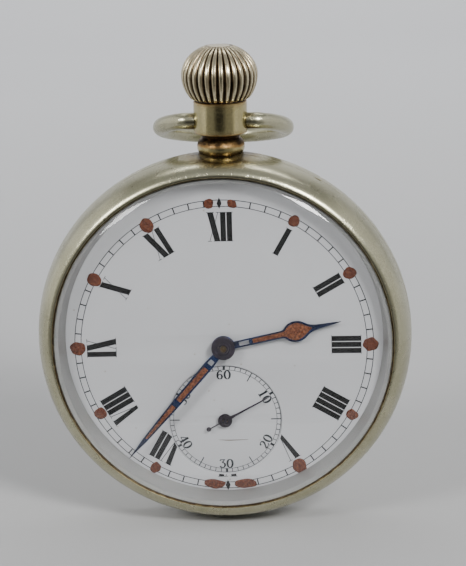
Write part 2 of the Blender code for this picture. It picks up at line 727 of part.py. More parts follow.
def winding_work():
    tooth = heading(BARREL, CROWN_WHEEL)
    flat(
        "ratchet_wheel", [saw_teeth(54, 5.5, 5.2, tooth), circle(0.9, count=16)],
        WHEEL_LOW, WHEEL_HIGH, "steel", at=BARREL
    )
    screw("ratchet_screw", BARREL, 1.1, 1.45, 2.8, 1.6, 0.34)
    gap = heading(CROWN_WHEEL, BARREL) + 5
    wheel = flat(
        "crown_wheel", [saw_teeth(36, 3.42, 3.2, gap), circle(0.6, count=12)],
        WHEEL_LOW, WHEEL_HIGH, "steel", at=CROWN_WHEEL
    )
    crown_ring = [(2.5, 3.85), (3.15, 3.85), (3.15, 1.9), (2.5, 1.9)]
    boolean(wheel, turned("crown_wheel_ring", crown_ring, None, MOVEMENT, (*CROWN_WHEEL, 0), 32), "UNION")
    screw("crown_wheel_screw", CROWN_WHEEL, 1.1, 1.45, 3.65, 1.5, 0.5)
    pinion = flat(
        "winding_pinion", [teeth(18, 1.88, 1.5, 0, 0.26, 0.1), circle(0.66, count=16)],
        13.7, 14.8, "steel", STEM_AXIS
    )
    return pinion


def click():
    toward = heading(CLICK, BARREL)
    lever = arc(0.85, toward + 40, toward + 250, 9) + [polar(1.9, toward - 78), polar(1.75, toward - 62)]
    flat("click", [lever, circle(0.42, count=10)], WHEEL_LOW, WHEEL_HIGH, "steel", at=CLICK)
    screw("click_screw", CLICK, 1.15, 1.45, 2.9, 0.8, 0.34)
    path = [
        (-15.6, 8.0, 1.75), (-14.6, 9.8, 1.75), (-13.2, 11.6, 1.75),
        (-11.9, 13.4, 1.75), (-10.9, 13.75, 1.75)
    ]
    wire("click_spring", path, 0.16, "blued_steel", MOVEMENT)


# ---------------------------------------------------------------- going train and escapement
def arbor(name, place, profile, leaves, tip, root, first, low, high):
    """A turned arbor with its pinion leaves."""
    made = turned(name, profile, "steel", MOVEMENT, (*place, 0), 16)
    pinion = flat(f"{name}_leaves", [teeth(leaves, tip, root, first, 0.24)], low, high, None, at=place)
    return boolean(made, pinion, "UNION")


def stepped(levels):
    """A turned profile from (radius, low, high) steps in rising order."""
    points = [(0, levels[0][1])]
    for radius, low, high in levels:
        points += [(radius, low), (radius, high)]
    return points + [(0, levels[-1][2])]


def centre():
    shaft = stepped([(0.4, 2.3, 3.35), (0.7, 3.35, 5.95), (0.44, 5.95, 10.9)])
    arbor("centre_arbor", CENTRE, shaft, 8, 1.16, 0.76, heading(CENTRE, BARREL) + 22.5, 3.95, 5.92)
    rim = teeth(64, 6.58, 6.18, heading(CENTRE, THIRD))
    flat("centre_wheel", [rim, circle(0.75), *windows(4, 1.6, 5.6, 0.9)], 3.45, 3.7, "gilt_brass")


def third():
    shaft = stepped([(0.22, 2.3, 3.35), (0.45, 3.35, 5.7), (0.22, 5.7, 7.2)])
    arbor("third_pinion", THIRD, shaft, 8, 0.94, 0.6, heading(THIRD, CENTRE) + 22.5, 3.4, 3.95)
    rim = teeth(60, 5.4, 5.06, heading(THIRD, FOURTH))
    flat(
        "third_wheel", [rim, circle(0.5, count=12), *windows(4, 1.4, 4.6, 0.8, 20)],
        5.2, 5.4, "gilt_brass", at=THIRD
    )


def fourth():
    shaft = stepped([(0.22, 2.3, 3.4), (0.36, 3.4, 5.7), (0.28, 5.7, 9.75)])
    arbor("fourth_arbor", FOURTH, shaft, 8, 0.82, 0.52, heading(FOURTH, THIRD) + 22.5, 5.08, 5.52)
    rim = teeth(60, 4.52, 4.24, heading(FOURTH, ESCAPE))
    flat(
        "fourth_wheel", [rim, circle(0.41, count=12), *windows(4, 1.2, 3.8, 0.7, 10)],
        4.3, 4.5, "gilt_brass", at=FOURTH
    )


def escape():
    shaft = stepped([(0.2, 2.3, 4.0), (0.28, 4.0, 5.6), (0.2, 5.6, 7.2)])
    arbor("escape_pinion", ESCAPE, shaft, 6, 0.54, 0.3, heading(ESCAPE, FOURTH) + 30, 4.2, 4.6)
    pitch = 360 / 15
    corners = ((2.7, -0.2), (3.2, 0.0), (3.14, 0.12), (2.7, 0.22))
    rim = [polar(radius, (tooth + share) * pitch) for tooth in range(15) for radius, share in corners]
    flat(
        "escape_wheel", [rim, circle(0.33, count=10), *windows(4, 0.8, 2.3, 0.45, 30)],
        4.75, 4.95, "steel", at=ESCAPE
    )


def pallet():
    side = [
        (-3.5, 0.26), (-3.5, 0.56), (-2.7, 0.5), (-0.8, 0.26),
        (-0.25, 0.55), (-0.1, 2.0), (0.6, 2.0), (0.6, 1.5)
    ]
    side += [(0.35, 1.45), (0.3, 0.5)]
    mirrored = [(x, -y) for x, y in reversed(side)]
    outline = [(-2.95, 0.26), *side, *mirrored, (-2.95, -0.26)]
    aim = math.radians(heading(PALLET, ESCAPE))
    flat("pallet_fork", [outline, circle(0.25, count=10)], 4.75, 4.95, "steel", at=PALLET, turn=aim)
    disc("pallet_arbor", 0.2, 3.8, 7.1, "steel", MOVEMENT, (*PALLET, 0), 10)


def balance():
    rim = []
    for index in range(12):
        for radius, share in ((5.5, 0.12), (5.8, 0.14), (5.8, 0.3), (5.5, 0.32), (5.5, 0.7)):
            rim.append(polar(radius, (index + share) * 30))
    inside = []
    for side in (0, 180):
        inside.append(arc(4.95, side + 7, side + 173, 12))
    wheel = flat("balance_wheel", [rim, *inside, circle(0.4, count=10)], 3.0, 3.5, "gilt_brass", at=BALANCE)
    wheel.rotation_euler[2] += math.radians(25)
    staff = stepped(
        [(0.2, 1.85, 2.65), (0.34, 2.65, 5.05), (1.5, 5.05, 5.3), (0.3, 5.3, 5.8), (0.2, 5.8, 7.1)]
    )
    made = turned("balance_staff", staff, "steel", MOVEMENT, (*BALANCE, 0), 16)
    toward = polar(1.15, heading(BALANCE, PALLET), BALANCE)
    boolean(made, disc("impulse_pin", 0.16, 4.65, 5.15, None, MOVEMENT, (*toward, 0), 8), "UNION")
    coil = []
    turns, count = 4, 52
    for step in range(count + 1):
        share = step / count
        coil.append((*polar(0.75 + 2.5 * share, 360 * turns * share), 2.8))
    wire("hairspring", coil, 0.07, "blued_steel", MOVEMENT, at=(*BALANCE, 0))
    pointer = arc(1.5, 30, 330, 14) + [(1.9, -0.35), (6.6, -0.1), (6.6, 0.1), (1.9, 0.35)]
    flat(
        "regulator", [pointer, circle(1.0, count=14)], 1.35,
        1.6, "steel", at=BALANCE, turn=math.radians(118)
    )


# ---------------------------------------------------------------- the watch
case_middle()
back_cover()
hinge_pin()
bezel()
crystal()
pendant()
pendant_sleeve()
bow()
crown()
winding_stem()
dial()
hour_hand()
minute_hand()
seconds_hand()
cannon_pinion()
minute_wheel()
hour_wheel()
main_plate()
barrel_bridge()
train_bridge()
balance_cock()
pallet_bridge()
screws()
barrel()
mainspring()
winding_work()
click()
centre()
third()
fourth()
escape()
pallet()
balance()
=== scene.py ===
"""The looks of the open face pocket watch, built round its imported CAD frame.

Sizes are in millimetres unless a name says otherwise. "On the dial" means x towards 3 o'clock,
y towards 12 and the depth from the flat back towards the dial, as in the CAD model.
"""

import json
import math
import random

import bmesh
import bpy
from mathutils import Matrix, Vector

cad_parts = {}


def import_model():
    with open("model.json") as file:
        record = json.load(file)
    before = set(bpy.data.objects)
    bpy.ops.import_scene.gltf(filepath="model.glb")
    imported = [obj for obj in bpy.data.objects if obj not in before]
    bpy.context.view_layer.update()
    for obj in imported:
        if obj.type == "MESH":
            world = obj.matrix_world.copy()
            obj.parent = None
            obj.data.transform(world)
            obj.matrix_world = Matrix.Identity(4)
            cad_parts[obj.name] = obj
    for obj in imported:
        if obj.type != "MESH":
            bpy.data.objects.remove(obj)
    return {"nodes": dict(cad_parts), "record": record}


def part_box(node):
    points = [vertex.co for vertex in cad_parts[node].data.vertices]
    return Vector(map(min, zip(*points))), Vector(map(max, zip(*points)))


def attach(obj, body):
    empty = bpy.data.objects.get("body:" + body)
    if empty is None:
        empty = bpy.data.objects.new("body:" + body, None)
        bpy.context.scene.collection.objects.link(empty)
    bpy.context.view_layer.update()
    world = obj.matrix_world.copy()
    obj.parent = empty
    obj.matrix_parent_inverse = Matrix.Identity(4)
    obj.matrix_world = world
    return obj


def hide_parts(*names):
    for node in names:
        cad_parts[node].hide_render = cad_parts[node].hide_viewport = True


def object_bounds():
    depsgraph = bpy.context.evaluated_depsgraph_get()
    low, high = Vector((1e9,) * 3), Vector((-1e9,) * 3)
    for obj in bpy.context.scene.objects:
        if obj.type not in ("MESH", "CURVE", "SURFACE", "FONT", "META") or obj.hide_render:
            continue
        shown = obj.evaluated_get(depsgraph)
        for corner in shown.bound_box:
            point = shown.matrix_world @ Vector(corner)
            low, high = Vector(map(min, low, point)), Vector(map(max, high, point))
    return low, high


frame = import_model()
cad_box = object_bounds()

MM = 0.001
STEPS = 192  # facets round the large turned pieces


def corner(node, axis, end):
    """One side of a CAD node's box, in millimetres."""
    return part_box(node)[end][axis] / MM


# ---------------------------------------------------------------- places, from the frame
DIAL_FACE = -corner("dial", 1, 0)
DIAL_LOW = -corner("dial", 1, 1)
CENTRE_Z = (corner("dial", 2, 0) + corner("dial", 2, 1)) / 2
SECONDS_FACE = -corner("seconds_dial", 1, 0)
SECONDS_Z = (corner("seconds_dial", 2, 0) + corner("seconds_dial", 2, 1)) / 2
STEM_DEPTH = -(corner("crown", 1, 0) + corner("crown", 1, 1)) / 2
FLOOR_Z = cad_box[0].z / MM

# ---------------------------------------------------------------- sizes shared with the CAD model
CASE_RADIUS = 25.7
RIM_DEPTH = 6.1
BACK_SEAM = 4.6
BEZEL_SEAM = 7.6
BEZEL_FRONT = 12.3
BEZEL_LIP = 23.3
BACK_FLAT_RADIUS = 14.0
BACK_WALL = 0.7
CASE_BORE = 22.1
CRYSTAL_RADIUS = 22.95
DIAL_RADIUS = 22.1
SECONDS_WELL = 7.85
PENDANT_RADIUS = 3.62
PENDANT_TOP = 32.6
CROWN_LOW = 32.8
CROWN_HIGH = 40.0
CROWN_RADIUS = 5.16
CROWN_FLUTES = 32
CROWN_FLUTE_DEPTH = 0.42
CROWN_EQUATOR = 36.05
CROWN_NECK = 3.5
CROWN_CAP = 1.95
CROWN_UNDER = 4.93  # half heights of the ellipses below and above the equator
CROWN_DOME = 4.2
BOW_HEIGHT = 29.75
BOW_WIRE = 1.17
BOW_RING = 8.58
BOW_REACH = 7.0
BOW_FILLET = 1.6
BOW_REST = math.radians(107.5)
BOW_START = PENDANT_RADIUS - 0.2  # the wire sits in shallow seats in the round pendant
DIAL_TURN = math.radians(-0.6)  # the dial sits a little turned in its case
HOUR_ANGLE = math.radians(77.4)
MINUTE_ANGLE = math.radians(220.3)
SECONDS_ANGLE = math.radians(61.1)
HINGE_Z = -25.3
HINGE_DEPTH = 4.6
KNUCKLE_RADIUS = 0.75
KNUCKLE_HALF = 1.6
KNUCKLE_END = 3.2
RUNNING = 0.05
KNUCKLE_ROOM = 0.15
PIN_HOLE = 0.4


def on_dial(x, y, depth):
    return Vector((x, -depth, y)) * MM


def on_movement(x, y, depth):
    return on_dial(x, y + CENTRE_Z, depth)


def on_seconds(x, y, depth):
    return on_dial(x, y + SECONDS_Z, depth)


def on_stem(x, y, height):
    return Vector((x, y - STEM_DEPTH, height)) * MM


def on_hinge(x, y, along):
    return Vector((along, y - HINGE_DEPTH, x + HINGE_Z)) * MM


def turned_by(place, angle):
    """The same plane, turned clockwise about its centre."""
    sine, cosine = math.sin(angle), math.cos(angle)
    return lambda x, y, depth: place(x * cosine + y * sine, y * cosine - x * sine, depth)


PRINT = turned_by(on_movement, DIAL_TURN)
SECONDS_PRINT = turned_by(on_seconds, DIAL_TURN)


# ---------------------------------------------------------------- node helpers
class Look:
    """A material, with short calls that add nodes to it. Lengths in it are millimetres."""

    def __init__(self, name):
        self.made = bpy.data.materials.new(name)
        self.made.use_nodes = True
        self.tree = self.made.node_tree
        self.shader = self.tree.nodes["Principled BSDF"]
        place = self.node("ShaderNodeTexCoord").outputs["Object"]
        self.place = self.scaled(place, (1 / MM,) * 3)

    def node(self, kind, **settings):
        made = self.tree.nodes.new(kind)
        for key, value in settings.items():
            setattr(made, key, value)
        return made

    def put(self, socket, value):
        """Links a socket, or sets its value; a colour may leave out its alpha."""
        if isinstance(value, bpy.types.NodeSocket):
            self.tree.links.new(value, socket)
        elif socket.type == "RGBA" and len(value) == 3:
            socket.default_value = (*value, 1)
        else:
            socket.default_value = value

    def join(self, node, **inputs):
        """Sets or links sockets; a key's underscores stand for spaces."""
        for key, value in inputs.items():
            self.put(node.inputs[key.replace("_", " ")], value)
        return node

    def scaled(self, vector, scale, turn=(0, 0, 0)):
        node = self.node("ShaderNodeMapping")
        return self.join(node, Vector=vector, Scale=scale, Rotation=turn).outputs[0]

    def noise(self, scale, detail=3.0, rough=0.55, stretch=None, turn=(0, 0, 0), bend=0.0):
        place = self.scaled(self.place, stretch, turn) if stretch else self.place
        node = self.node("ShaderNodeTexNoise")
        self.join(node, Vector=place, Scale=scale, Detail=detail, Roughness=rough, Distortion=bend)
        return node.outputs["Fac"]

    def ramp(self, value, *stops):
        """A colour ramp of (position, colour or grey)."""
        node = self.node("ShaderNodeValToRGB")
        while len(node.color_ramp.elements) < len(stops):
            node.color_ramp.elements.new(0.5)
        for element, (position, colour) in zip(node.color_ramp.elements, stops):
            element.position = position
            element.color = (*colour, 1) if isinstance(colour, tuple) else (colour,) * 3 + (1,)
        return self.join(node, Fac=value).outputs["Color"]

    def math(self, kind, *values, clamp=False):
        node = self.node("ShaderNodeMath", operation=kind, use_clamp=clamp)
        for socket, value in zip(node.inputs, values):
            self.put(socket, value)
        return node.outputs[0]

    def mix(self, share, first, second, kind="MIX"):
        node = self.node("ShaderNodeMix", data_type="RGBA", blend_type=kind)
        for index, value in ((0, share), (6, first), (7, second)):
            self.put(node.inputs[index], value)
        return node.outputs[2]

    def near(self, point, inner, outer):
        """1 within the inner distance of a point, falling to 0 at the outer one."""
        gap = self.node("ShaderNodeVectorMath", operation="DISTANCE")
        self.join(gap, Vector=self.place)
        gap.inputs[1].default_value = point
        node = self.node("ShaderNodeMapRange", interpolation_type="SMOOTHSTEP")
        self.join(node, Value=gap.outputs["Value"])
        for key, value in (("From Min", inner), ("From Max", outer), ("To Min", 1), ("To Max", 0)):
            node.inputs[key].default_value = value
        return node.outputs[0]

    # A per-vertex value for grime together with painted shade: it darkens seams, bores, grooves and
    # undersides.
    def grime(self):
        return self.node("ShaderNodeAttribute", attribute_name="grime").outputs["Fac"]

    def bump(self, height, distance, strength=1.0):
        node = self.node("ShaderNodeBump")
        self.join(node, Height=height, Distance=distance * MM, Strength=strength)
        self.join(self.shader, Normal=node.outputs[0])

    def finish(self, **inputs):
        self.join(self.shader, **inputs)
        return self.made


def metal(name, light, dark, rough, patina_and_shade=None, patina_at=(), grain=5.0, lines=0.5, depth=0.006):
    """Worked metal: cloudy colour, satin grain, fine scratches, and grime with painted shade where a piece's
    vertices ask for it.

    Negative grime-and-shade values mark a bare, colourless surface.
    """
    look = Look(name)
    cloud = look.noise(0.16, 4.0, 0.6, bend=0.6)
    grain_value = look.noise(grain, 2.0, 0.7)
    scratch_a = look.noise(1.0, 2.0, 0.5, stretch=(0.35, 9, 5), turn=(0.3, 0.4, 0.6))
    scratch_b = look.noise(1.0, 2.0, 0.5, stretch=(8, 0.4, 0.5), turn=(0.9, 0.2, 1.1))
    thin = ((0.60, 0.0), (0.66, 1.0), (0.70, 0.0))
    scratches = look.math("ADD", look.ramp(scratch_a, *thin), look.ramp(scratch_b, *thin), clamp=True)
    colour = look.mix(look.ramp(cloud, (0.35, 0.0), (0.68, 1.0)), light, dark)
    speck = look.ramp(grain_value, (0.28, 0.78), (0.62, 1.0))
    colour = look.mix(1.0, colour, speck, "MULTIPLY")
    pits = look.node("ShaderNodeTexVoronoi", feature="F1")
    look.join(pits, Vector=look.place, Scale=0.55, Randomness=1.0)
    pit = look.ramp(pits.outputs["Distance"], (0.035, 1.0), (0.075, 0.0))
    pit = look.math("MULTIPLY", pit, look.ramp(cloud, (0.44, 0.0), (0.52, 0.8)))
    colour = look.mix(pit, colour, (0.05, 0.035, 0.02))
    mark = look.grime()
    colour = look.mix(look.math("MULTIPLY", mark, -1.0, clamp=True), colour, BARE)
    dirt_and_shade = look.math("MAXIMUM", mark, 0.0)
    for point, inner, outer in patina_at:
        dirt_and_shade = look.math("MAXIMUM", dirt_and_shade, look.near(point, inner, outer))
    # The stain colours go where the grime-and-shade values are high, so they paint shade into seams, bores
    # and grooves as well as dirt; the deep colour is nearly black.
    if patina_and_shade:
        stain_and_shade_colour, deep = patina_and_shade
        ragged = look.math("MULTIPLY_ADD", look.noise(0.9, 5.0, 0.65, bend=0.8), 0.9, -0.45)
        share = look.math("MULTIPLY", dirt_and_shade, 2.0, clamp=True)
        level = look.math("ADD", dirt_and_shade, look.math("MULTIPLY", ragged, share), clamp=True)
        colour = look.mix(look.ramp(level, (0.12, 0.0), (0.55, 0.85)), colour, stain_and_shade_colour)
        colour = look.mix(look.ramp(level, (0.55, 0.0), (0.95, 0.95)), colour, deep)
    base = look.math("MULTIPLY_ADD", cloud, SPREAD, rough - SPREAD / 2)
    rougher = look.math("MULTIPLY_ADD", look.math("ABSOLUTE", mark), 0.25, base)
    height = look.math("SUBTRACT", grain_value, look.math("MULTIPLY", scratches, lines))
    look.bump(height, depth)
    return look.finish(Base_Color=colour, Metallic=1.0, Roughness=rougher)


PENDANT_FOOT = (0, -STEM_DEPTH, 25.6)
BARE = (0.30, 0.296, 0.29)  # colour of a bare surface
SPREAD = 0.12  # how much a metal's roughness varies
# Stain colour pairs, light then deep. Laid by the grime-and-shade values, they are real stain and rust, and
# painted shade in seams, grooves and recesses too.
STAIN_AND_SHADE = ((0.25, 0.19, 0.08), (0.035, 0.022, 0.012))
CROWN_STAIN_AND_SHADE = ((0.16, 0.10, 0.05), (0.022, 0.014, 0.009))
RUST_AND_SHADE = ((0.30, 0.15, 0.045), (0.030, 0.018, 0.010))

nickel_silver = metal(
    "nickel_silver_satin", (0.57, 0.545, 0.385), (0.46, 0.44, 0.295), 0.27,
    patina_and_shade=STAIN_AND_SHADE, patina_at=[(PENDANT_FOOT, 2.6, 7.5)],
)
nickel_pendant = metal("nickel_silver_pendant", (0.64, 0.57, 0.32), (0.52, 0.44, 0.21), 0.20, patina_and_shade=RUST_AND_SHADE)
nickel_crown = metal(
    "nickel_silver_crown", (0.74, 0.66, 0.46), (0.62, 0.53, 0.34),
    0.25, CROWN_STAIN_AND_SHADE, depth=0.003,
)
brass = metal(
    "gilt_brass_grained", (0.83, 0.62, 0.30), (0.70, 0.48, 0.20),
    0.30, STAIN_AND_SHADE, grain=7.0, lines=0.2,
)
steel = metal(
    "steel_polished", (0.60, 0.61, 0.62), (0.48, 0.48, 0.49),
    0.20, grain=9.0, lines=0.6, depth=0.002,
)
blued = metal(
    "steel_blued", (0.010, 0.034, 0.125), (0.010, 0.012, 0.036),
    0.26, grain=9.0, lines=0.3, depth=0.002,
)
blued_dark = metal(
    "steel_blued_hub", (0.050, 0.040, 0.060), (0.034, 0.025, 0.033),
    0.30, lines=0.4, depth=0.003,
)
arbor_tip = metal("arbor_tip", (0.16, 0.11, 0.055), (0.07, 0.045, 0.03), 0.28, lines=0.3, depth=0.003)


def nickel_plate_look():
    """Nickelled plates with broad parallel graining bands."""
    look = Look("nickel_plate_banded")
    band = look.node("ShaderNodeTexWave", wave_type="BANDS", bands_direction="X", wave_profile="SAW")
    slant = (0, math.radians(35), 0)
    look.join(band, Vector=look.scaled(look.place, (1, 1, 1), slant), Scale=0.16, Distortion=0.15)
    hair = look.noise(1.0, 3.0, 0.7, stretch=(0.8, 6, 14), turn=slant)
    colour = look.mix(band.outputs["Fac"], (0.74, 0.73, 0.69), (0.58, 0.57, 0.53))
    colour = look.mix(look.ramp(look.noise(0.3, 4.0), (0.45, 0.0), (0.75, 0.35)), colour, (0.50, 0.44, 0.32))
    rough = look.math("MULTIPLY_ADD", hair, 0.16, 0.20)
    look.bump(look.math("ADD", band.outputs["Fac"], look.math("MULTIPLY", hair, 0.3)), 0.01)
    return look.finish(Base_Color=colour, Metallic=1.0, Roughness=rough)


def enamel_look():
    """Fired white enamel: faint clouding, pinholes and a thin yellowing at the edge."""
    look = Look("enamel_white")
    cloud = look.noise(0.10, 3.0)
    colour = look.mix(cloud, (0.47, 0.47, 0.49), (0.51, 0.51, 0.525))
    specks = look.node("ShaderNodeTexVoronoi", feature="F1")
    look.join(specks, Vector=look.place, Scale=0.55, Randomness=1.0)
    spot = look.ramp(specks.outputs["Distance"], (0.0, 1.0), (0.05, 0.8), (0.10, 0.0))
    chance = look.ramp(look.noise(0.35, 1.0), (0.50, 0.0), (0.62, 0.75))
    colour = look.mix(look.math("MULTIPLY", spot, chance), colour, (0.30, 0.26, 0.22))
    colour = look.mix(look.math("MULTIPLY", look.grime(), 0.35), colour, (0.42, 0.36, 0.26))
    look.bump(look.noise(0.5, 2.0), 0.004)
    return look.finish(Base_Color=colour, Roughness=0.14, IOR=1.52)


def print_look(name, light, dark):
    look = Look(name)
    worn = look.ramp(look.noise(2.2, 4.0, 0.6), (0.42, 0.0), (0.80, 1.0))
    return look.finish(Base_Color=look.mix(worn, dark, light), Roughness=0.45, Specular_IOR_Level=0.12)


def lume_look(name, low, middle, high):
    """Aged luminous compound: brown, lumpy and dull."""
    look = Look(name)
    lump = look.noise(3.2, 5.0, 0.65)
    fine = look.noise(14.0, 2.0, 0.6)
    colour = look.ramp(lump, (0.32, low), (0.50, middle), (0.70, high))
    look.bump(look.math("ADD", lump, look.math("MULTIPLY", fine, 0.3)), 0.09)
    rough = look.math("MULTIPLY_ADD", fine, 0.3, 0.55)
    return look.finish(Base_Color=colour, Roughness=rough, Specular_IOR_Level=0.15)


def glass_look():
    """Clear glass with faint wear; shadow and diffuse rays pass straight through it."""
    look = Look("crystal_clear")
    wear = look.noise(1.0, 2.0, 0.5, stretch=(0.5, 7, 4), turn=(0.2, 0.5, 0.3))
    rough = look.ramp(wear, (0.62, 0.0), (0.70, 0.05))
    look.finish(Base_Color=(0.985, 0.995, 0.99, 1), Roughness=rough, IOR=1.5, Transmission_Weight=1.0)
    path = look.node("ShaderNodeLightPath")
    lit = look.math("MAXIMUM", path.outputs["Is Shadow Ray"], path.outputs["Is Diffuse Ray"])
    clear = look.node("ShaderNodeBsdfTransparent")
    both = look.node("ShaderNodeMixShader")
    look.tree.links.new(lit, both.inputs[0])
    look.tree.links.new(look.shader.outputs[0], both.inputs[1])
    look.tree.links.new(clear.outputs[0], both.inputs[2])
    look.tree.links.new(both.outputs[0], look.tree.nodes["Material Output"].inputs["Surface"])
    return look.made


nickel_plate = nickel_plate_look()
enamel = enamel_look()
ink = print_look("dial_ink", (0.003, 0.003, 0.004), (0.0008, 0.0008, 0.0012))
hairline_ink = print_look("dial_ink_fine", (0.014, 0.017, 0.022), (0.003, 0.0035, 0.005))
soft_ink = print_look("dial_ink_soft", (0.030, 0.037, 0.045), (0.008, 0.010, 0.013))
scratch_ink = print_look("enamel_scratch", (0.17, 0.11, 0.03), (0.06, 0.04, 0.01))
lume = lume_look("luminous_compound", (0.026, 0.007, 0.003), (0.085, 0.021, 0.009), (0.19, 0.060, 0.026))
lume_hands = lume_look("luminous_hands", (0.036, 0.010, 0.004), (0.12, 0.034, 0.013), (0.30, 0.11, 0.046))
glass = glass_look()


# ---------------------------------------------------------------- mesh helpers
def new_shape():
    shape = bmesh.new()
    # Each vertex carries a grime-and-shade value, for dirt and painted shade in seams and recesses.
    shape.verts.layers.float.new("grime")
    return shape


def piece(name, shape, body, look, slot=None, replaced=(), sharp=32):
    """Turns a bmesh in row-frame metres into a piece that rides on a body."""
    bmesh.ops.recalc_face_normals(shape, faces=shape.faces)
    mesh = bpy.data.meshes.new(name)
    shape.to_mesh(mesh)
    shape.free()
    mesh.shade_smooth()
    mesh.set_sharp_from_angle(angle=math.radians(sharp))
    made = bpy.data.objects.new(name, mesh)
    bpy.context.scene.collection.objects.link(made)
    made.data.materials.append(look)
    if body:
        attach(made, body)
    if replaced:
        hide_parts(*replaced)
    return made


def lathe(shape, profile, place, steps=STEPS):
    """Adds a closed turned solid. Profile points are (radius, height) or (radius, height, grime and painted
    shade).
    """
    layer = shape.verts.layers.float["grime"]
    rings = []
    for radius, height, *rest in profile:
        count = steps if radius > 1e-6 else 1
        ring = []
        for step in range(count):
            angle = math.tau * step / steps
            vertex = shape.verts.new(place(radius * math.cos(angle), radius * math.sin(angle), height))
            vertex[layer] = rest[0] if rest else 0.0
            ring.append(vertex)
        rings.append(ring)
    for near, far in zip(rings, rings[1:] + rings[:1]):
        for step in range(steps):
            after = (step + 1) % steps
            spots = ((near, step), (near, after), (far, after), (far, step))
            corners = list(dict.fromkeys(ring[spot % len(ring)] for ring, spot in spots))
            if len(corners) > 2:
                shape.faces.new(corners)
    return shape


def turned(profile, place, steps=STEPS):
    return lathe(new_shape(), profile, place, steps)


def rod(radius, start, end, place, steps=40):
    return turned([(0, start), (radius, start), (radius, end), (0, end)], place, steps)


def ribbon(shape, points, halves, low, high, place, closed=False):
    """Adds a thin raised stroke along (x, y) points; halves are half widths, one or one each."""
    count = len(points)
    if not isinstance(halves, (list, tuple)):
        halves = [halves] * count
    rows = []
    for index, (x, y) in enumerate(points):
        before = points[index - 1] if index or closed else points[0]
        after = points[(index + 1) % count] if index + 1 < count or closed else points[-1]
        dx, dy = after[0] - before[0], after[1] - before[1]
        size = math.hypot(dx, dy)
        nx, ny = -dy / size * halves[index], dx / size * halves[index]
        corners = ((1, low), (1, high), (-1, high), (-1, low))
        rows.append([shape.verts.new(place(x + side * nx, y + side * ny, h)) for side, h in corners])
    return bridge(shape, rows, closed)


def bridge(shape, rows, closed):
    for near, far in zip(rows, rows[1:] + (rows[:1] if closed else [])):
        for side in range(len(near)):
            after = (side + 1) % len(near)
            shape.faces.new((near[side], near[after], far[after], far[side]))
    if not closed:
        shape.faces.new(rows[0][::-1])
        shape.faces.new(rows[-1])
    return shape


def prism(shape, outline, low, high, place):
    lower = [shape.verts.new(place(x, y, low)) for x, y in outline]
    upper = [shape.verts.new(place(x, y, high)) for x, y in outline]
    return bridge(shape, [lower, upper], False)


def sheet(outlines, low, high, bevel, place, rounds=2):
    """A plate of the first outline with the others as holes, with rounded edges, as a bmesh."""
    curve = bpy.data.curves.new("sheet", "CURVE")
    curve.dimensions = "2D"
    curve.fill_mode = "BOTH"
    curve.extrude = (high - low) / 2 - bevel
    curve.bevel_depth = bevel
    curve.bevel_resolution = rounds
    curve.offset = -bevel
    for outline in outlines:
        spline = curve.splines.new("POLY")
        spline.points.add(len(outline) - 1)
        for slot, (x, y) in zip(spline.points, outline):
            slot.co = (x, y, 0, 1)
        spline.use_cyclic_u = True
    return from_curve(curve, lambda co: place(co.x, co.y, co.z + (low + high) / 2))


def from_curve(curve, place):
    holder = bpy.data.objects.new("curve", curve)
    bpy.context.scene.collection.objects.link(holder)
    graph = bpy.context.evaluated_depsgraph_get()
    mesh = bpy.data.meshes.new_from_object(holder.evaluated_get(graph))
    bpy.data.objects.remove(holder)
    shape = new_shape()
    shape.from_mesh(mesh)
    bmesh.ops.remove_doubles(shape, verts=shape.verts, dist=1e-4)
    for vertex in shape.verts:
        vertex.co = place(vertex.co)
    bpy.data.meshes.remove(mesh)
    return shape


def cut(target, shape, operation="DIFFERENCE"):
    """Cuts a shape from a piece, or adds it, and applies the result."""
    bmesh.ops.recalc_face_normals(shape, faces=shape.faces)
    mesh = bpy.data.meshes.new("cutter")
    shape.to_mesh(mesh)
    shape.free()
    other = bpy.data.objects.new("cutter", mesh)
    bpy.context.scene.collection.objects.link(other)
    step = target.modifiers.new("cut", "BOOLEAN")
    step.operation = operation
    step.object = other
    graph = bpy.context.evaluated_depsgraph_get()
    result = bpy.data.meshes.new_from_object(target.evaluated_get(graph))
    target.modifiers.clear()
    old, target.data = target.data, result
    result.name = old.name
    bpy.data.meshes.remove(old)
    bpy.data.objects.remove(other)
    return target


def polar(radius, angle, centre=(0.0, 0.0)):
    return (centre[0] + radius * math.cos(angle), centre[1] + radius * math.sin(angle))


def circle(radius, count=48, centre=(0.0, 0.0)):
    return [polar(radius, math.tau * step / count, centre) for step in range(count)]


def arc(radius, start, end, count, centre=(0.0, 0.0)):
    return [polar(radius, start + (end - start) * step / (count - 1), centre) for step in range(count)]


def sweep(start, end, across, along, centre, count, depth=RIM_DEPTH):
    """Points of an ellipse arc about (centre, depth), with angles in degrees."""
    angles = [math.radians(start + (end - start) * step / (count - 1)) for step in range(count)]
    return [(centre + across * math.cos(a), depth + along * math.sin(a)) for a in angles]


# ---------------------------------------------------------------- case
BEZEL_ROLL = CASE_RADIUS - BEZEL_LIP
BEZEL_RISE = BEZEL_FRONT - RIM_DEPTH
BACK_ROLL = CASE_RADIUS - BACK_FLAT_RADIUS
SEAM_UP = math.degrees(math.asin((BEZEL_SEAM - RIM_DEPTH) / BEZEL_RISE))
SEAM_DOWN = math.degrees(math.asin((BACK_SEAM - RIM_DEPTH) / RIM_DEPTH))


def silver(name, shape, body, node, **settings):
    return piece(name, shape, body, nickel_silver, "nickel_silver", [node], **settings)


def with_grime(points, amount):
    return [(r, h, amount) for r, h in points]


def hinge_bar(start, end, radius):
    return rod(radius, start, end, on_hinge)


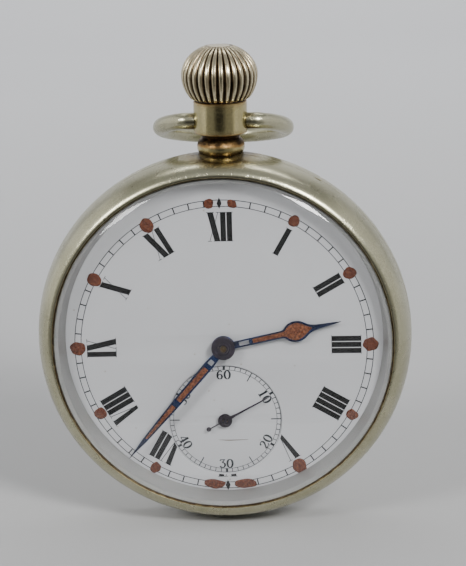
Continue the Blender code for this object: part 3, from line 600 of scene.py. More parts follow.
def case_band():
    front = sweep(SEAM_UP - 0.8, 0, BEZEL_ROLL, BEZEL_RISE, BEZEL_LIP, 8)
    back = sweep(0, SEAM_DOWN + 0.8, BACK_ROLL, RIM_DEPTH, BACK_FLAT_RADIUS, 8)[1:]
    # The seam edges get full grime and painted shade, and the bore half of it.
    profile = [(front[0][0] - 0.12, BEZEL_SEAM - RUNNING, 1.0)] + front + back
    profile += [(back[-1][0] - 0.12, BACK_SEAM + RUNNING, 1.0)]
    inside = [(23.8, BACK_SEAM + RUNNING), (23.8, 3.9), (CASE_BORE, 3.9), (CASE_BORE, 4.8), (20.0, 4.8)]
    inside += [(20.0, 5.85), (CASE_BORE, 5.85), (CASE_BORE, 8.3), (23.2, 8.3), (23.2, 8.5), (24.0, 8.5)]
    inside += [(24.0, BEZEL_SEAM - RUNNING)]
    profile += with_grime(inside, 0.5)
    band = silver("case_band", turned(profile, on_dial), "case", "case_middle")
    cut(band, rod(1.25, 18, 28, on_stem))
    cut(band, hinge_bar(-KNUCKLE_HALF, KNUCKLE_HALF, KNUCKLE_RADIUS), "UNION")
    for side in (-1, 1):
        ends = sorted((side * (KNUCKLE_HALF + 0.05), side * (KNUCKLE_END + KNUCKLE_ROOM)))
        cut(band, hinge_bar(*ends, KNUCKLE_RADIUS + KNUCKLE_ROOM))
    cut(band, hinge_bar(-KNUCKLE_END - 1, KNUCKLE_END + 1, PIN_HOLE))


def case_back():
    # The seam edge gets grime and painted shade, and the inside a little.
    outer = [(25.2, BACK_SEAM, 0.9)]
    outer += sweep(SEAM_DOWN - 0.8, -90, BACK_ROLL, RIM_DEPTH, BACK_FLAT_RADIUS, 30)
    inner = sweep(-90, -16.13, BACK_ROLL - BACK_WALL, RIM_DEPTH - BACK_WALL, BACK_FLAT_RADIUS, 20)
    profile = outer + [(0, 0), (0, BACK_WALL)] + with_grime(inner, 0.25)
    cover = silver("case_back", turned(profile, on_dial), "back_cover", "back_cover")
    cut(cover, hinge_bar(-KNUCKLE_HALF - 0.1, KNUCKLE_HALF + 0.1, KNUCKLE_RADIUS + KNUCKLE_ROOM))
    for side in (-1, 1):
        ends = sorted((side * (KNUCKLE_HALF + KNUCKLE_ROOM), side * KNUCKLE_END))
        cut(cover, hinge_bar(*ends, KNUCKLE_RADIUS), "UNION")
    cut(cover, hinge_bar(-KNUCKLE_END - 1, KNUCKLE_END + 1, PIN_HOLE))


NOTCH = 0.36
NOTCH_TURN = math.radians(59.2)


def bezel_ring():
    outer = sweep(90, SEAM_UP + 1.6, BEZEL_ROLL, BEZEL_RISE, BEZEL_LIP, 40)
    outer.append((outer[-1][0] + 0.01, BEZEL_SEAM + 0.06, 0.8))
    wall = DIAL_FACE + RUNNING
    # The lip by the glass, the seat and the seam get grime and painted shade; the rehaut is marked bare.
    lip = [(23.08, 12.0, 1.0), (23.09, 12.12, 1.0), (23.12, 12.2, 1.0), (23.22, 12.28, 0.8)]
    seat = [(25.5, BEZEL_SEAM), (24.1, BEZEL_SEAM), (24.1, 8.6), (23.3, 8.6), (23.3, wall)]
    rehaut = [(21.50, wall), (21.42, wall + 0.08), (22.17, 11.35), (22.25, 11.5), (22.9, 11.5)]
    profile = lip + outer + with_grime(seat, 1) + with_grime(rehaut, -1) + [(23.05, 11.5, 1.0)]
    ring = silver("bezel_ring", turned(profile, on_dial), "bezel", "bezel")
    knob = [(*polar(NOTCH, math.radians(angle)), 1.0) for angle in range(-90, 91, 45)]
    cut(ring, turned(knob, on_notch, 24))


def on_notch(x, y, out):
    """A small thumbnail notch at the bezel's edge, wider round the rim than it is deep."""
    radius, along = CASE_RADIUS + out, 1.7 * x
    sine, cosine = math.sin(NOTCH_TURN), math.cos(NOTCH_TURN)
    depth = BEZEL_SEAM + 0.15 + y
    return on_dial(radius * cosine - along * sine, radius * sine + along * cosine, depth)


GLASS_EDGE = 12.05  # the outer face at the edge, and its rise to the middle
GLASS_RISE = 0.95
GLASS_INSIDE = 11.6  # the inner face, likewise
GLASS_HOLLOW = 0.6


def crystal_dome():
    """A lentille chevee glass: nearly flat, with a steep rounded edge."""
    radii = [CRYSTAL_RADIUS * math.sin(math.pi / 2 * step / 90) for step in range(91)]
    outer = [(r, GLASS_EDGE + GLASS_RISE * (1 - (r / CRYSTAL_RADIUS) ** 20)) for r in radii]
    inner = [(r, GLASS_INSIDE + GLASS_HOLLOW * (1 - (r / CRYSTAL_RADIUS) ** 4)) for r in radii]
    shape = turned(outer + inner[::-1], on_dial)
    piece("crystal_dome", shape, "bezel", glass, "crystal_glass", ["crystal"], sharp=40)


def bulb_grime(angle):
    """Grime and painted shade on a bulb: heavy above its middle, under the barrel's overhang, and some where
    it meets the case.
    """
    rise = math.sin(angle)
    return min(1, 2.2 * rise) if rise > 0 else 0.8 * rise**4


def pendant_body():
    bulb = []
    for angle in (math.radians(step) for step in range(80, -81, -10)):
        r, h = 2.28 + 0.95 * math.cos(angle), 26.33 + 1.22 * math.sin(angle)
        bulb.append((r, h, 0.15 + 0.75 * bulb_grime(angle)))
    # The bore, the barrel's underside, the neck and the stub get grime and painted shade.
    top = [(2.3, 27.7, 1), (2.3, PENDANT_TOP - 0.1, 0.8), (2.4, PENDANT_TOP, 0.5)]
    barrel = [(PENDANT_RADIUS - 0.12, PENDANT_TOP, 0.6), (PENDANT_RADIUS - 0.02, PENDANT_TOP - 0.1, 0.4)]
    barrel += [(PENDANT_RADIUS, 32.1, 0.2), (PENDANT_RADIUS, 31.0, 0.0), (PENDANT_RADIUS, 29.2, 0.05)]
    barrel += [(PENDANT_RADIUS, 28.5, 0.25), (PENDANT_RADIUS - 0.06, 28.28, 0.5), (3.4, 28.18, 0.9)]
    neck = [(2.85, 28.12, 1), (2.66, 28.0, 1), (2.6, 27.75, 1)]
    stub = [(1.2, 25.75, 1), (1.2, 22.6, 1), (0.8, 22.6, 1), (0.8, 27.6, 1)]
    shape = turned(top + barrel + neck + bulb + stub, on_stem, 96)
    body = piece("pendant_body", shape, "case", nickel_pendant, "nickel_silver", ["pendant"])
    cut(body, rod(0.78, -5, 5, on_bow_pivot, 32))
    for side in (-1, 1):
        ends = sorted((side * (BOW_START - 0.04), side * 5))
        cut(body, rod(BOW_WIRE + 0.04, *ends, on_bow_pivot))


def on_bow_pivot(x, y, along):
    return Vector((along, y - STEM_DEPTH, x + BOW_HEIGHT)) * MM


def bow_ring():
    """The bow's wire: thin ends in the pendant, then the full wire round the ring."""
    bend_x = math.sqrt((BOW_RING - BOW_FILLET) ** 2 - (BOW_REACH - BOW_FILLET) ** 2)
    touch = math.atan2(BOW_FILLET - BOW_REACH, bend_x)
    thin = 0.7 / BOW_WIRE
    half = [(2.6, 0, thin), (BOW_START - 0.02, 0, thin), (BOW_START, 0, 0.93)]
    half += [(BOW_START + 0.05, 0, 0.99), (BOW_START + 0.15, 0, 1)]
    half += [(x, y, 1) for x, y in arc(BOW_FILLET, -math.pi / 2, touch, 10, (bend_x, BOW_FILLET))]
    half += [(x, y, 1) for x, y in arc(BOW_RING, touch, math.pi / 2, 44, (0, BOW_REACH))[1:]]
    line = half + [(-x, y, r) for x, y, r in half[-2::-1]]
    curve = bpy.data.curves.new("bow", "CURVE")
    curve.dimensions = "3D"
    curve.bevel_depth = BOW_WIRE - 0.02
    curve.bevel_resolution = 8
    curve.use_fill_caps = True
    spline = curve.splines.new("POLY")
    spline.points.add(len(line) - 1)
    for slot, (x, y, radius) in zip(spline.points, line):
        slot.co = (x, 0, y, 1)
        slot.radius = radius
    turn = Matrix.Rotation(-BOW_REST, 3, "X")
    pivot = Vector((0, -STEM_DEPTH, BOW_HEIGHT))
    shape = from_curve(curve, lambda co: (turn @ co + pivot) * MM)
    silver("bow_ring", shape, "bow", "bow", sharp=50)


def crown_knob():
    """A fluted onion crown: rounded ridges with narrow grooves that widen downwards."""
    columns = CROWN_FLUTES * 12
    low_turn = math.asin((CROWN_LOW - CROWN_EQUATOR) / CROWN_UNDER)
    top_turn = math.acos(CROWN_CAP / CROWN_RADIUS)
    levels = [(CROWN_NECK, CROWN_LOW), (CROWN_RADIUS * math.cos(low_turn) - 0.12, CROWN_LOW + 0.02)]
    for step in range(1, 15):
        turn = low_turn * (1 - step / 14)
        levels.append((CROWN_RADIUS * math.cos(turn), CROWN_EQUATOR + CROWN_UNDER * math.sin(turn)))
    for step in range(1, 23):
        turn = top_turn * step / 22
        levels.append((CROWN_RADIUS * math.cos(turn), CROWN_EQUATOR + CROWN_DOME * math.sin(turn)))
    shape = new_shape()
    layer = shape.verts.layers.float["grime"]
    rings = []
    for radius, height in levels:
        share = (height - CROWN_LOW) / (CROWN_HIGH - CROWN_LOW)
        depth = CROWN_FLUTE_DEPTH * min(1, radius / 4.0) * min(1, 6 * share + 0.3)
        sharpness = 2.2 + 6.0 * share  # high values give narrow grooves
        ring = []
        for step in range(columns):
            angle = math.tau * step / columns
            groove = abs(math.cos(CROWN_FLUTES / 2 * angle)) ** sharpness
            x, y = polar(radius - depth * groove, angle)
            vertex = shape.verts.new(on_stem(x, y, height))
            # The grooves get grime and painted shade by their depth, a little less higher up.
            vertex[layer] = min(1, groove * 1.5) * (1.0 - 0.15 * share)
            ring.append(vertex)
        rings.append(ring)
    bridge(shape, rings, False)
    knob = piece("crown_knob", shape, "crown", nickel_crown, "nickel_silver", ["crown"], sharp=60)
    cut(knob, rod(0.65, 30, 39.2, on_stem, 32))
    # The cap's rim step gets grime and painted shade.
    below = [(0, 0, 0), (1.45, 0, 0), (1.54, 0.03, 0.3), (1.6, 0.12, 1), (CROWN_CAP, 0.13, 1)]
    below += [(CROWN_CAP, 0.3, 1), (0, 0.3, 1)]
    cap = [(radius, CROWN_HIGH - depth, dirt_and_shade) for radius, depth, dirt_and_shade in below]
    piece("crown_cap", turned(cap, on_stem, 64), "crown", nickel_crown, "nickel_silver")


# ---------------------------------------------------------------- dial
TRACK_OUT = 20.4
TRACK_IN = 19.6
NUMERAL_FOOT = 14.8
NUMERAL_HEAD = 18.8
FINE = 0.045  # half width of the dial's hairlines
INK_RISE = 0.012  # how far print stands above the enamel
BAR = 0.73
GAP = 0.13


def dial_plates():
    outer = circle(DIAL_RADIUS, STEPS)
    holes = [circle(1.4, 40), circle(SECONDS_WELL, 120, (0, SECONDS_Z - CENTRE_Z))]
    shape = sheet([outer, *holes], DIAL_LOW, DIAL_FACE, 0.05, on_movement, 3)
    piece("dial_plate", shape, "case", enamel, "enamel", ["dial"])
    outlines = [circle(SECONDS_WELL - 0.004, 120), circle(0.6, 24)]
    shape = sheet(outlines, DIAL_LOW, SECONDS_FACE, 0.01, on_seconds, 1)
    piece("seconds_plate", shape, "case", enamel, "enamel", ["seconds_dial"])


def ring_line(shape, radius, half, face, place, steps=STEPS):
    inner, outer, top = radius - half, radius + half, face + INK_RISE
    lathe(shape, [(inner, face), (outer, face), (outer, top), (inner, top)], place, steps)


def tick(shape, place, angle, inner, outer, half, face, rise=INK_RISE):
    ribbon(shape, [(0, inner), (0, outer)], half, face, face + rise, turned_by(place, angle))


def minute_track():
    shape = new_shape()
    for radius in (TRACK_IN, TRACK_OUT):
        ring_line(shape, radius, FINE, DIAL_FACE, PRINT, 240)
    for minute in range(60):
        if minute % 5:
            tick(shape, PRINT, math.radians(6 * minute), TRACK_IN, TRACK_OUT, 0.085, DIAL_FACE, 0.015)
    piece("minute_track", shape, "case", hairline_ink, "enamel")


def glyph(letter, left):
    """(advance, strokes) of a Roman letter; a stroke is its foot's and head's left and right sides."""
    if letter == "I":
        return BAR, [((left, left + BAR), (left, left + BAR))]
    if letter == "V":
        thick = ((left + 0.60, left + 1.12), (left, left + 0.74))
        thin = ((left + 0.90, left + 0.99), (left + 1.44, left + 1.53))
        return 1.60, [thick, thin]
    thick = ((left + 0.90, left + 1.71), (left, left + 0.80))
    thin = ((left + 0.22, left + 0.30), (left + 1.42, left + 1.50))
    return 1.62, [thick, thin]


def clipped(foot, head, place_2d):
    """The foot moved up its side line to where the line leaves the seconds dial, or None."""
    limit = SECONDS_WELL + 0.05

    def outside(share):
        u, v = foot[0] + (head[0] - foot[0]) * share, foot[1] + (head[1] - foot[1]) * share
        x, y = place_2d(u, v)
        return math.hypot(x, y - (SECONDS_Z - CENTRE_Z)) > limit

    if not outside(1.0):
        return None
    share = next(step / 200 for step in range(201) if outside(step / 200))
    return (foot[0] + (head[0] - foot[0]) * share, foot[1] + (head[1] - foot[1]) * share)


def numerals():
    words = ("I", "II", "III", "IIII", "V", "VI", "VII", "VIII", "IX", "X", "XI", "XII")
    bold, fine = new_shape(), new_shape()
    for hour, word in enumerate(words, 1):
        angle = math.radians(30 * hour)
        sine, cosine = math.sin(angle), math.cos(angle)

        def flat(u, v):
            return (u * cosine + v * sine, v * cosine - u * sine)

        width = sum(glyph(letter, 0)[0] for letter in word) + GAP * (len(word) - 1)
        left = -width / 2
        for letter in word:
            advance, strokes = glyph(letter, left)
            serifs = []
            for foot_sides, head_sides in strokes:
                corners = []
                for foot_u, head_u in zip(foot_sides, head_sides):
                    foot = clipped((foot_u, NUMERAL_FOOT), (head_u, NUMERAL_HEAD), flat)
                    corners.append((foot, (head_u, NUMERAL_HEAD)))
                if None in (corners[0][0], corners[1][0]):
                    continue
                (foot_a, head_a), (foot_b, head_b) = corners
                outline = [flat(*corner_point) for corner_point in (foot_a, foot_b, head_b, head_a)]
                wide = head_sides[1] - head_sides[0] > 0.2
                target, rise = (bold, 0.014) if wide else (fine, 0.010)
                prism(target, outline, DIAL_FACE, DIAL_FACE + rise, PRINT)
                reach = 0.13 if wide else 0.24
                serifs.append((NUMERAL_HEAD, head_sides[0] - reach, head_sides[1] + reach))
                if corners[0][0][1] == NUMERAL_FOOT and letter != "V":
                    serifs.append((NUMERAL_FOOT, foot_sides[0] - reach, foot_sides[1] + reach))
            for v, start, end in serifs:
                ends = [flat(start, v), flat(end, v)]
                ribbon(fine, ends, 0.038, DIAL_FACE, DIAL_FACE + 0.008, PRINT)
            left += advance + GAP
    piece("roman_numerals", bold, "case", ink, "enamel")
    piece("numeral_hairlines", fine, "case", soft_ink, "enamel")


def diamonds():
    shape = new_shape()
    middle = (TRACK_IN + TRACK_OUT) / 2
    for sign in (1, -1):
        points = ((0, -0.72), (0.34, 0), (0, 0.72), (-0.34, 0))
        outline = [(x, sign * middle + y) for x, y in points]
        prism(shape, outline, DIAL_FACE, DIAL_FACE + 0.02, PRINT)
    piece("dial_diamonds", shape, "case", ink, "enamel")


def blob(shape, centre, along, across, turn, rise, place, chance, steps=40):
    """A hand-laid dot of paste: an uneven outline, domed in two steps to a flat top."""
    waves = [(chance.uniform(0.015, 0.05), chance.uniform(0, math.tau), order) for order in (2, 3, 4, 6)]
    rings = []
    for share, height in ((1.0, 0.0), (1.0, 0.35), (0.93, 0.75), (0.78, 1.0), (0.4, 1.06)):
        ring = []
        for step in range(steps):
            angle = math.tau * step / steps
            swell = sum(wave * math.sin(order * angle + phase) for wave, phase, order in waves)
            size = share * (1 + swell)
            x, y = along / 2 * size * math.cos(angle), across / 2 * size * math.sin(angle)
            sine, cosine = math.sin(turn), math.cos(turn)
            point = (centre[0] + x * cosine - y * sine, centre[1] + x * sine + y * cosine)
            ring.append(shape.verts.new(place(*point, DIAL_FACE + rise * height)))
        rings.append(ring)
    bridge(shape, rings, False)


def luminous_dots():
    chance = random.Random(12)
    shape = new_shape()
    sizes = {1: 1.55, 2: 1.7, 3: 1.95, 4: 1.55, 5: 2.05, 7: 1.5, 8: 1.7, 9: 2.0, 10: 1.9, 11: 1.95}
    stray = {8: (-1.6, -0.3), 10: (0.8, -0.15), 11: (0, -0.25)}  # off their mark: degrees, distance
    middle = (TRACK_IN + TRACK_OUT) / 2
    for hour, size in sizes.items():
        turn, reach = stray.get(hour, (0, 0))
        angle = math.radians(90 - 30 * hour + turn)
        blob(shape, polar(middle + reach, angle), size, size * 0.95, angle, 0.10, PRINT, chance)
    blob(shape, (-1.42, middle - 0.05), 1.35, 1.25, 0.2, 0.09, PRINT, chance)
    blob(shape, (1.72, middle - 0.12), 1.4, 1.0, -0.6, 0.09, PRINT, chance)
    blob(shape, (-1.85, -middle + 0.20), 3.0, 1.25, -0.10, 0.10, PRINT, chance)
    blob(shape, (2.45, -middle + 0.20), 3.25, 1.2, 0.06, 0.10, PRINT, chance)
    piece("luminous_dots", shape, "case", lume)


DIGITS = {
    "0": [[(0.31 + 0.25 * x, 0.5 + 0.48 * y) for x, y in circle(1, 24)]],
    "1": [[(0.34, 0.0), (0.34, 1.0)], [(0.34, 0.98), (0.18, 0.84)], [(0.14, 0.02), (0.54, 0.02)]],
    "2": [
        [(0.10, 0.74), (0.14, 0.89), (0.28, 0.97), (0.42, 0.91), (0.50, 0.76), (0.46, 0.58), (0.30, 0.36),
         (0.12, 0.14), (0.07, 0.05)],
        [(0.07, 0.05), (0.54, 0.05), (0.55, 0.2)],
    ],
    "3": [
        [(0.10, 0.80), (0.11, 0.95), (0.50, 0.95), (0.27, 0.60)],
        [(0.27, 0.60), (0.42, 0.57), (0.52, 0.45), (0.54, 0.28), (0.45, 0.09), (0.28, 0.02), (0.13, 0.08),
         (0.08, 0.22)],
    ],
    "4": [
        [(0.44, 0.0), (0.44, 1.0)], [(0.44, 0.98), (0.04, 0.30)],
        [(0.04, 0.28), (0.60, 0.28)], [(0.28, 0.02), (0.60, 0.02)],
    ],
    "5": [
        [(0.14, 0.95), (0.50, 0.95)], [(0.15, 0.95), (0.13, 0.54)],
        [(0.13, 0.54), (0.28, 0.61), (0.44, 0.54), (0.53, 0.36), (0.51, 0.17), (0.41, 0.05), (0.26, 0.02),
         (0.10, 0.12)],
    ],
    "6": [
        [(0.50, 0.84), (0.40, 0.96), (0.26, 0.95), (0.14, 0.78), (0.08, 0.50), (0.09, 0.25), (0.17, 0.07),
         (0.31, 0.02), (0.45, 0.08), (0.53, 0.28), (0.46, 0.50), (0.31, 0.57), (0.17, 0.50), (0.10, 0.36)],
    ],
}
DIGIT_WIDTH = 1.45
DIGIT_HEIGHT = 1.25
DIGIT_PITCH = 0.70


def digits(shape, word, place, base):
    """A number in a face with thick uprights and thin curves, centred on x = 0 with its foot at base."""
    for index, letter in enumerate(word):
        left = (index - len(word) / 2) * DIGIT_PITCH
        for stroke in DIGITS[letter]:
            closed = letter == "0"
            count = len(stroke)
            halves = []
            for spot in range(count):
                before = stroke[spot - 1] if spot or closed else stroke[0]
                after = stroke[(spot + 1) % count] if spot + 1 < count or closed else stroke[-1]
                dx, dy = after[0] - before[0], after[1] - before[1]
                upright = abs(dy) / math.hypot(dx, dy)
                halves.append(0.055 + 0.085 * upright**2)
            if letter in "34" and count < 4 or (letter == "1" and stroke[0][1] > 0.9):
                halves = [0.055] * count
            if letter in "14" and stroke[0][1] == 0.0:
                halves = [0.15] * count
            points = [((left + x) * DIGIT_WIDTH, base + y * DIGIT_HEIGHT) for x, y in stroke]
            ribbon(shape, points, halves, SECONDS_FACE, SECONDS_FACE + INK_RISE, place, closed)


SMALL_TRACK_OUT = 7.68
SMALL_TRACK_IN = 7.15
SMALL_TICK_END = 6.3  # the inner end of every fifth second's tick
SMALL_DIGIT_FOOT = 5.82
SMALL_DIGIT_HEAD = 7.05


def seconds_print():
    shape = new_shape()
    for radius, half in ((SMALL_TRACK_OUT, 0.035), (SMALL_TRACK_IN, 0.03)):
        ring_line(shape, radius, half, SECONDS_FACE, SECONDS_PRINT, 160)
    for second in range(60):
        angle = math.radians(6 * second)
        inner, half = SMALL_TRACK_IN, 0.05
        if second % 10 == 0:
            half = 0.16
        elif second % 5 == 0:
            inner, half = SMALL_TICK_END, 0.065
        tick(shape, SECONDS_PRINT, angle, inner, SMALL_TRACK_OUT, half, SECONDS_FACE, 0.014)
    piece("seconds_track", shape, "case", soft_ink, "enamel")
    shape = new_shape()
    for second, outward in ((60, False), (10, False), (20, True), (30, True), (40, True), (50, False)):
        angle = math.radians(6 * second)
        place = turned_by(SECONDS_PRINT, angle + (math.pi if outward else 0))
        digits(shape, str(second), place, -SMALL_DIGIT_HEAD if outward else SMALL_DIGIT_FOOT)
    piece("seconds_numerals", shape, "case", soft_ink, "enamel")
    scratch = [(-1.0, -2.95), (0.4, -3.02), (1.9, -3.0), (3.1, -2.96)]
    halves = [0.015, 0.06, 0.045, 0.02]
    shape = ribbon(new_shape(), scratch, halves, SECONDS_FACE, SECONDS_FACE + 0.006, SECONDS_PRINT)
    piece("enamel_scratch", shape, "case", scratch_ink, "enamel")


# ---------------------------------------------------------------- hands
HOUR_LOW = 9.85  # undersides of the flat hands; their CAD nodes also hold a pipe
MINUTE_LOW = 10.35
SECONDS_LOW = 9.5
SECONDS_HIGH = 9.65


def hand_outline(hub, side, steps=40):
    """A hub circle running into a blade; side is (half width, distance) from the hub outwards."""
    width, start = side[0]
    angle = math.atan2(start, width)
    hub_arc = arc(hub, math.pi - angle, math.tau + angle, steps)
    left = [(-x, y) for x, y in reversed(side)]
    return hub_arc + side[1:] + left[:-1]


def smooth(points, rounds=3):
    """Chaikin's corner cutting on an open line, keeping its ends."""
    for _ in range(rounds):
        made = [points[0]]
        for (ax, ay), (bx, by) in zip(points, points[1:]):
            for near, far in ((0.75, 0.25), (0.25, 0.75)):
                made.append((ax * near + bx * far, ay * near + by * far))
        points = made + [points[-1]]
    return points


def slot_hole(low, high, low_half, high_half):
    return [(low_half, low), (high_half, high), (-high_half, high), (-low_half, low)]


def inset(outline, gap):
    """A symmetric hole outline pulled in by a gap, for the paste that fills it."""
    heights = [y for _, y in outline]
    middle = (min(heights) + max(heights)) / 2
    share = 1 - gap / (max(heights) - middle)
    return [(x - math.copysign(min(gap, abs(x)), x), middle + (y - middle) * share) for x, y in outline]


def fill(name, outline, low, high, body, place):
    shape = sheet([inset(outline, 0.015)], low, high, 0.03, place)
    piece(name, shape, body, lume_hands)


def hour_pointer():
    low, high = HOUR_LOW, -corner("hour_hand", 1, 0)
    bulb = [(0.52, 8.1), (0.60, 8.55), (1.12, 8.95), (1.46, 9.7), (1.46, 10.7), (1.12, 11.4), (0.62, 12.0)]
    bulb += [(0.36, 12.9), (0.24, 14.2), (0.13, 15.6)]
    side = [(0.5, 1.55)] + smooth(bulb) + [(0.02, 16.5)]
    half = [(0.32, 8.3), (0.42, 8.75), (0.88, 9.1), (1.18, 9.8), (1.18, 10.6), (0.88, 11.2), (0.42, 11.8)]
    half = [(0.29, 4.1)] + smooth(half + [(0.10, 12.4)])
    inlay = half + [(-x, y) for x, y in reversed(half)]
    window = slot_hole(2.2, 3.6, 0.27, 0.29)
    place = turned_by(on_movement, HOUR_ANGLE)
    shape = sheet([hand_outline(1.63, side), circle(1.2, 40), window, inlay], low, high, 0.05, place)
    piece("hour_pointer", shape, "hour_hand", blued, "blued_steel", ["hour_hand"])
    fill("hour_paste", inlay, low + 0.03, high + 0.01, "hour_hand", place)


def minute_pointer():
    low, high = MINUTE_LOW, -corner("minute_hand", 1, 0)
    side = [(0.5, 1.3), (0.62, 2.6), (0.66, 3.2), (0.585, 10.0), (0.44, 14.5), (0.33, 17.2), (0.18, 18.7)]
    side.append((0.02, 20.5))
    slots = ((2.25, 3.0, 0.32, 0.36), (3.7, 9.8, 0.40, 0.34), (10.75, 16.9, 0.33, 0.13))
    windows = [slot_hole(*sizes) for sizes in slots]
    place = turned_by(on_movement, MINUTE_ANGLE)
    shape = sheet([hand_outline(1.4, side), circle(0.75, 32), *windows], low, high, 0.05, place)
    piece("minute_pointer", shape, "minute_hand", blued, "blued_steel", ["minute_hand"])
    fill("minute_paste_inner", windows[1], low + 0.03, high + 0.01, "minute_hand", place)
    fill("minute_paste_outer", windows[2], low + 0.03, high + 0.01, "minute_hand", place)
    above = [(0.72, -0.03), (1.62, -0.03), (1.62, 0.02), (1.55, 0.06), (1.12, 0.08), (1.05, 0.16)]
    collet = [(r, high + h) for r, h in above + [(0.98, 0.18), (0.72, 0.18)]]
    piece("minute_hub", turned(collet, on_movement, 64), "minute_hand", blued_dark, "blued_steel")


def seconds_pointer():
    low, high = SECONDS_LOW, SECONDS_HIGH
    place = turned_by(on_seconds, SECONDS_ANGLE)
    needle = [(0.22, 0.95), (0.13, 2.0), (0.09, 6.2), (0.02, 7.0)]
    turn = math.atan2(0.95, 0.22)
    right = [(0.09, -1.1), (0.07, -2.2)]
    disc = arc(0.33, math.radians(78), math.radians(-258), 20, (0, -2.6))
    outline = needle + [(-x, y) for x, y in reversed(needle)]
    outline += arc(0.98, math.pi - turn, math.pi * 1.47, 20)[1:]
    outline += [(-x, y) for x, y in right] + disc[::-1] + right[::-1]
    outline += arc(0.98, math.pi * 1.53, math.tau + turn, 20)[:-1]
    shape = sheet([outline, circle(0.34, 20)], low, high, 0.03, place)
    piece("seconds_pointer", shape, "fourth_wheel", blued_dark, "blued_steel", ["seconds_hand"])
    boss = [(0.33, high - 0.02), (0.9, high - 0.02), (0.84, high + 0.05), (0.33, high + 0.09)]
    piece("seconds_hub", turned(boss, on_seconds, 48), "fourth_wheel", blued_dark, "blued_steel")


# ---------------------------------------------------------------- movement finishes
BY_SLOT = {"steel": steel, "gilt_brass": brass, "nickel_plate": nickel_plate, "blued_steel": blued}
BY_NAME = {"cannon_pinion": blued_dark, "fourth_arbor": blued_dark, "centre_arbor": arbor_tip}
HANDS = ("hour_hand", "minute_hand", "seconds_hand")


def dress_frame():
    """Gives every CAD node that stays in sight a look, by its slot, with the bridges' screws blued."""
    for row in frame["record"]["subparts"]:
        name, slot = row["node"], row["material_slot"]
        if slot not in BY_SLOT or name in HANDS:
            continue
        look = BY_NAME.get(name, blued if "_bridge_screw_" in name else BY_SLOT[slot])
        materials = frame["nodes"][name].data.materials
        materials.clear()
        materials.append(look)


# ---------------------------------------------------------------- stage
FLOOR_FRONT = -60  # the floor nearer the camera isn't reflected, so that metal keeps its dark bands


def stage():
    """A pale floor that curves up into a backdrop behind the watch, with painted shade darkening the floor
    towards the camera.
    """
    look = Look("backdrop_paper")
    tone = look.mix(look.noise(0.004, 2.0), (0.53, 0.535, 0.55), (0.58, 0.585, 0.60))
    apart = look.join(look.node("ShaderNodeSeparateXYZ"), Vector=look.place)
    # Painted shade: the paper is darkened towards the camera, from the back to the front.
    reach = look.node("ShaderNodeMapRange")
    look.join(reach, Value=apart.outputs["Y"], From_Min=-260.0, From_Max=420.0, To_Min=0.0, To_Max=1.0)
    tone = look.mix(reach.outputs[0], (0.35, 0.345, 0.335), tone)
    look.finish(Base_Color=tone, Roughness=0.9)
    bend = arc(250, -math.pi / 2, 0, 16, (450, FLOOR_Z + 250))
    back = [(FLOOR_FRONT, FLOOR_Z)] + bend + [(700, 1400)]
    for name, path in (("floor_back", back), ("floor_front", [(-1500, FLOOR_Z), (FLOOR_FRONT, FLOOR_Z)])):
        shape = bmesh.new()
        rows = [[shape.verts.new(Vector((x, y, z)) * MM) for x in (-1500, 1500)] for y, z in path]
        for near, far in zip(rows, rows[1:]):
            shape.faces.new((near[0], near[1], far[1], far[0]))
        piece(name, shape, None, look.made)
        bpy.data.objects[name].visible_glossy = name == "floor_back"


def softbox(name, place, aim, size, watts, colour=(1, 1, 1)):
    data = bpy.data.lights.new(name, "AREA")
    data.shape = "RECTANGLE"
    data.size, data.size_y = size[0] * MM, size[1] * MM
    data.energy = watts
    data.color = colour
    made = bpy.data.objects.new(name, data)
    made.location = Vector(place) * MM
    made.rotation_euler = (Vector(aim) - Vector(place)).to_track_quat("-Z", "Y").to_euler()
    made.visible_camera = False
    bpy.context.scene.collection.objects.link(made)


def sky_ramp(tree, value, *ends):
    """A ramp between two (position, colour) ends."""
    node = tree.nodes.new("ShaderNodeValToRGB")
    for element, (position, colour) in zip(node.color_ramp.elements, ends):
        element.position = position
        element.color = (*colour, 1)
    tree.links.new(value, node.inputs[0])
    return node.outputs[0]


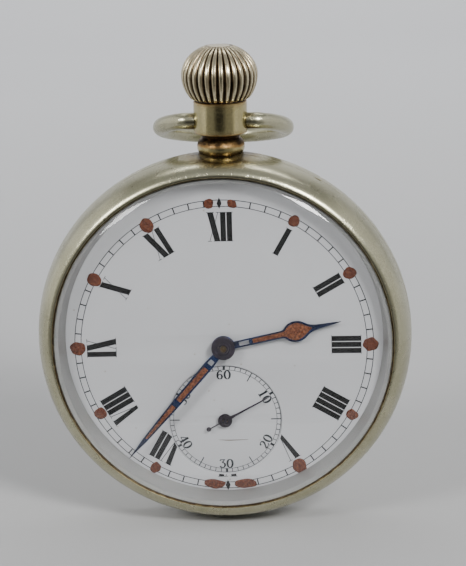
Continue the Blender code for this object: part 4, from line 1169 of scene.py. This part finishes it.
def world():
    """A dim room that is darkest low down, and nearly black in a cone towards the camera's side."""
    made = bpy.data.worlds.new("studio")
    made.use_nodes = True
    tree = made.node_tree
    apart = tree.nodes.new("ShaderNodeSeparateXYZ")
    tree.links.new(tree.nodes.new("ShaderNodeTexCoord").outputs["Generated"], apart.inputs[0])
    front = tree.nodes.new("ShaderNodeMath")
    front.operation = "MULTIPLY"
    front.inputs[1].default_value = -1.0
    tree.links.new(apart.outputs["Y"], front.inputs[0])
    room = sky_ramp(tree, apart.outputs["Z"], (0.0, (0.40, 0.40, 0.385)), (0.6, (0.62, 0.64, 0.67)))
    cone = sky_ramp(tree, front.outputs[0], (0.88, (1, 1, 1)), (0.955, (0.06, 0.06, 0.06)))
    both = tree.nodes.new("ShaderNodeMix")
    both.data_type, both.blend_type = "RGBA", "MULTIPLY"
    both.inputs[0].default_value = 1.0
    tree.links.new(room, both.inputs[6])
    tree.links.new(cone, both.inputs[7])
    tree.links.new(both.outputs[2], tree.nodes["Background"].inputs["Color"])
    tree.nodes["Background"].inputs["Strength"].default_value = 0.58
    bpy.context.scene.world = made


def lights():
    """Two softboxes in front, a large card at either side, and a light over the backdrop."""
    softbox("key_right", (330, -500, 420), (0, 0, 0), (170, 170), 4.6)
    softbox("key_left", (-430, -460, 360), (0, 0, 0), (200, 200), 2.5)
    for name, side in (("card_left", -1), ("card_right", 1)):
        softbox(name, (side * 600, 60, 120), (0, 0, 0), (900, 800), 1.35 - 0.15 * side)
    softbox("backdrop_light", (0, 250, 560), (0, 720, 220), (500, 300), 3.6)


CAMERA_LENS = 143.1
CAMERA_ANGLES = (3.1306, 14.3830, -1.1653)  # azimuth, elevation and roll in degrees
CAMERA_PLACE = (17.59, -304.67, 83.89)


def camera():
    """A long lens slightly right of the watch's centre line and above it, 0.31 m from the dial."""
    data = bpy.data.cameras.new("camera")
    data.lens = CAMERA_LENS
    data.clip_start, data.clip_end = 0.01, 10
    made = bpy.data.objects.new("camera", data)
    azimuth, elevation, roll = (math.radians(angle) for angle in CAMERA_ANGLES)
    turn = Matrix.Rotation(azimuth, 4, "Z") @ Matrix.Rotation(math.pi / 2 - elevation, 4, "X")
    made.matrix_world = turn @ Matrix.Rotation(roll, 4, "Z")
    made.location = Vector(CAMERA_PLACE) * MM
    bpy.context.scene.collection.objects.link(made)
    bpy.context.scene.camera = made


case_band()
case_back()
bezel_ring()
crystal_dome()
pendant_body()
bow_ring()
crown_knob()
dial_plates()
minute_track()
numerals()
diamonds()
luminous_dots()
seconds_print()
hour_pointer()
minute_pointer()
seconds_pointer()
dress_frame()
stage()
world()
lights()
camera()
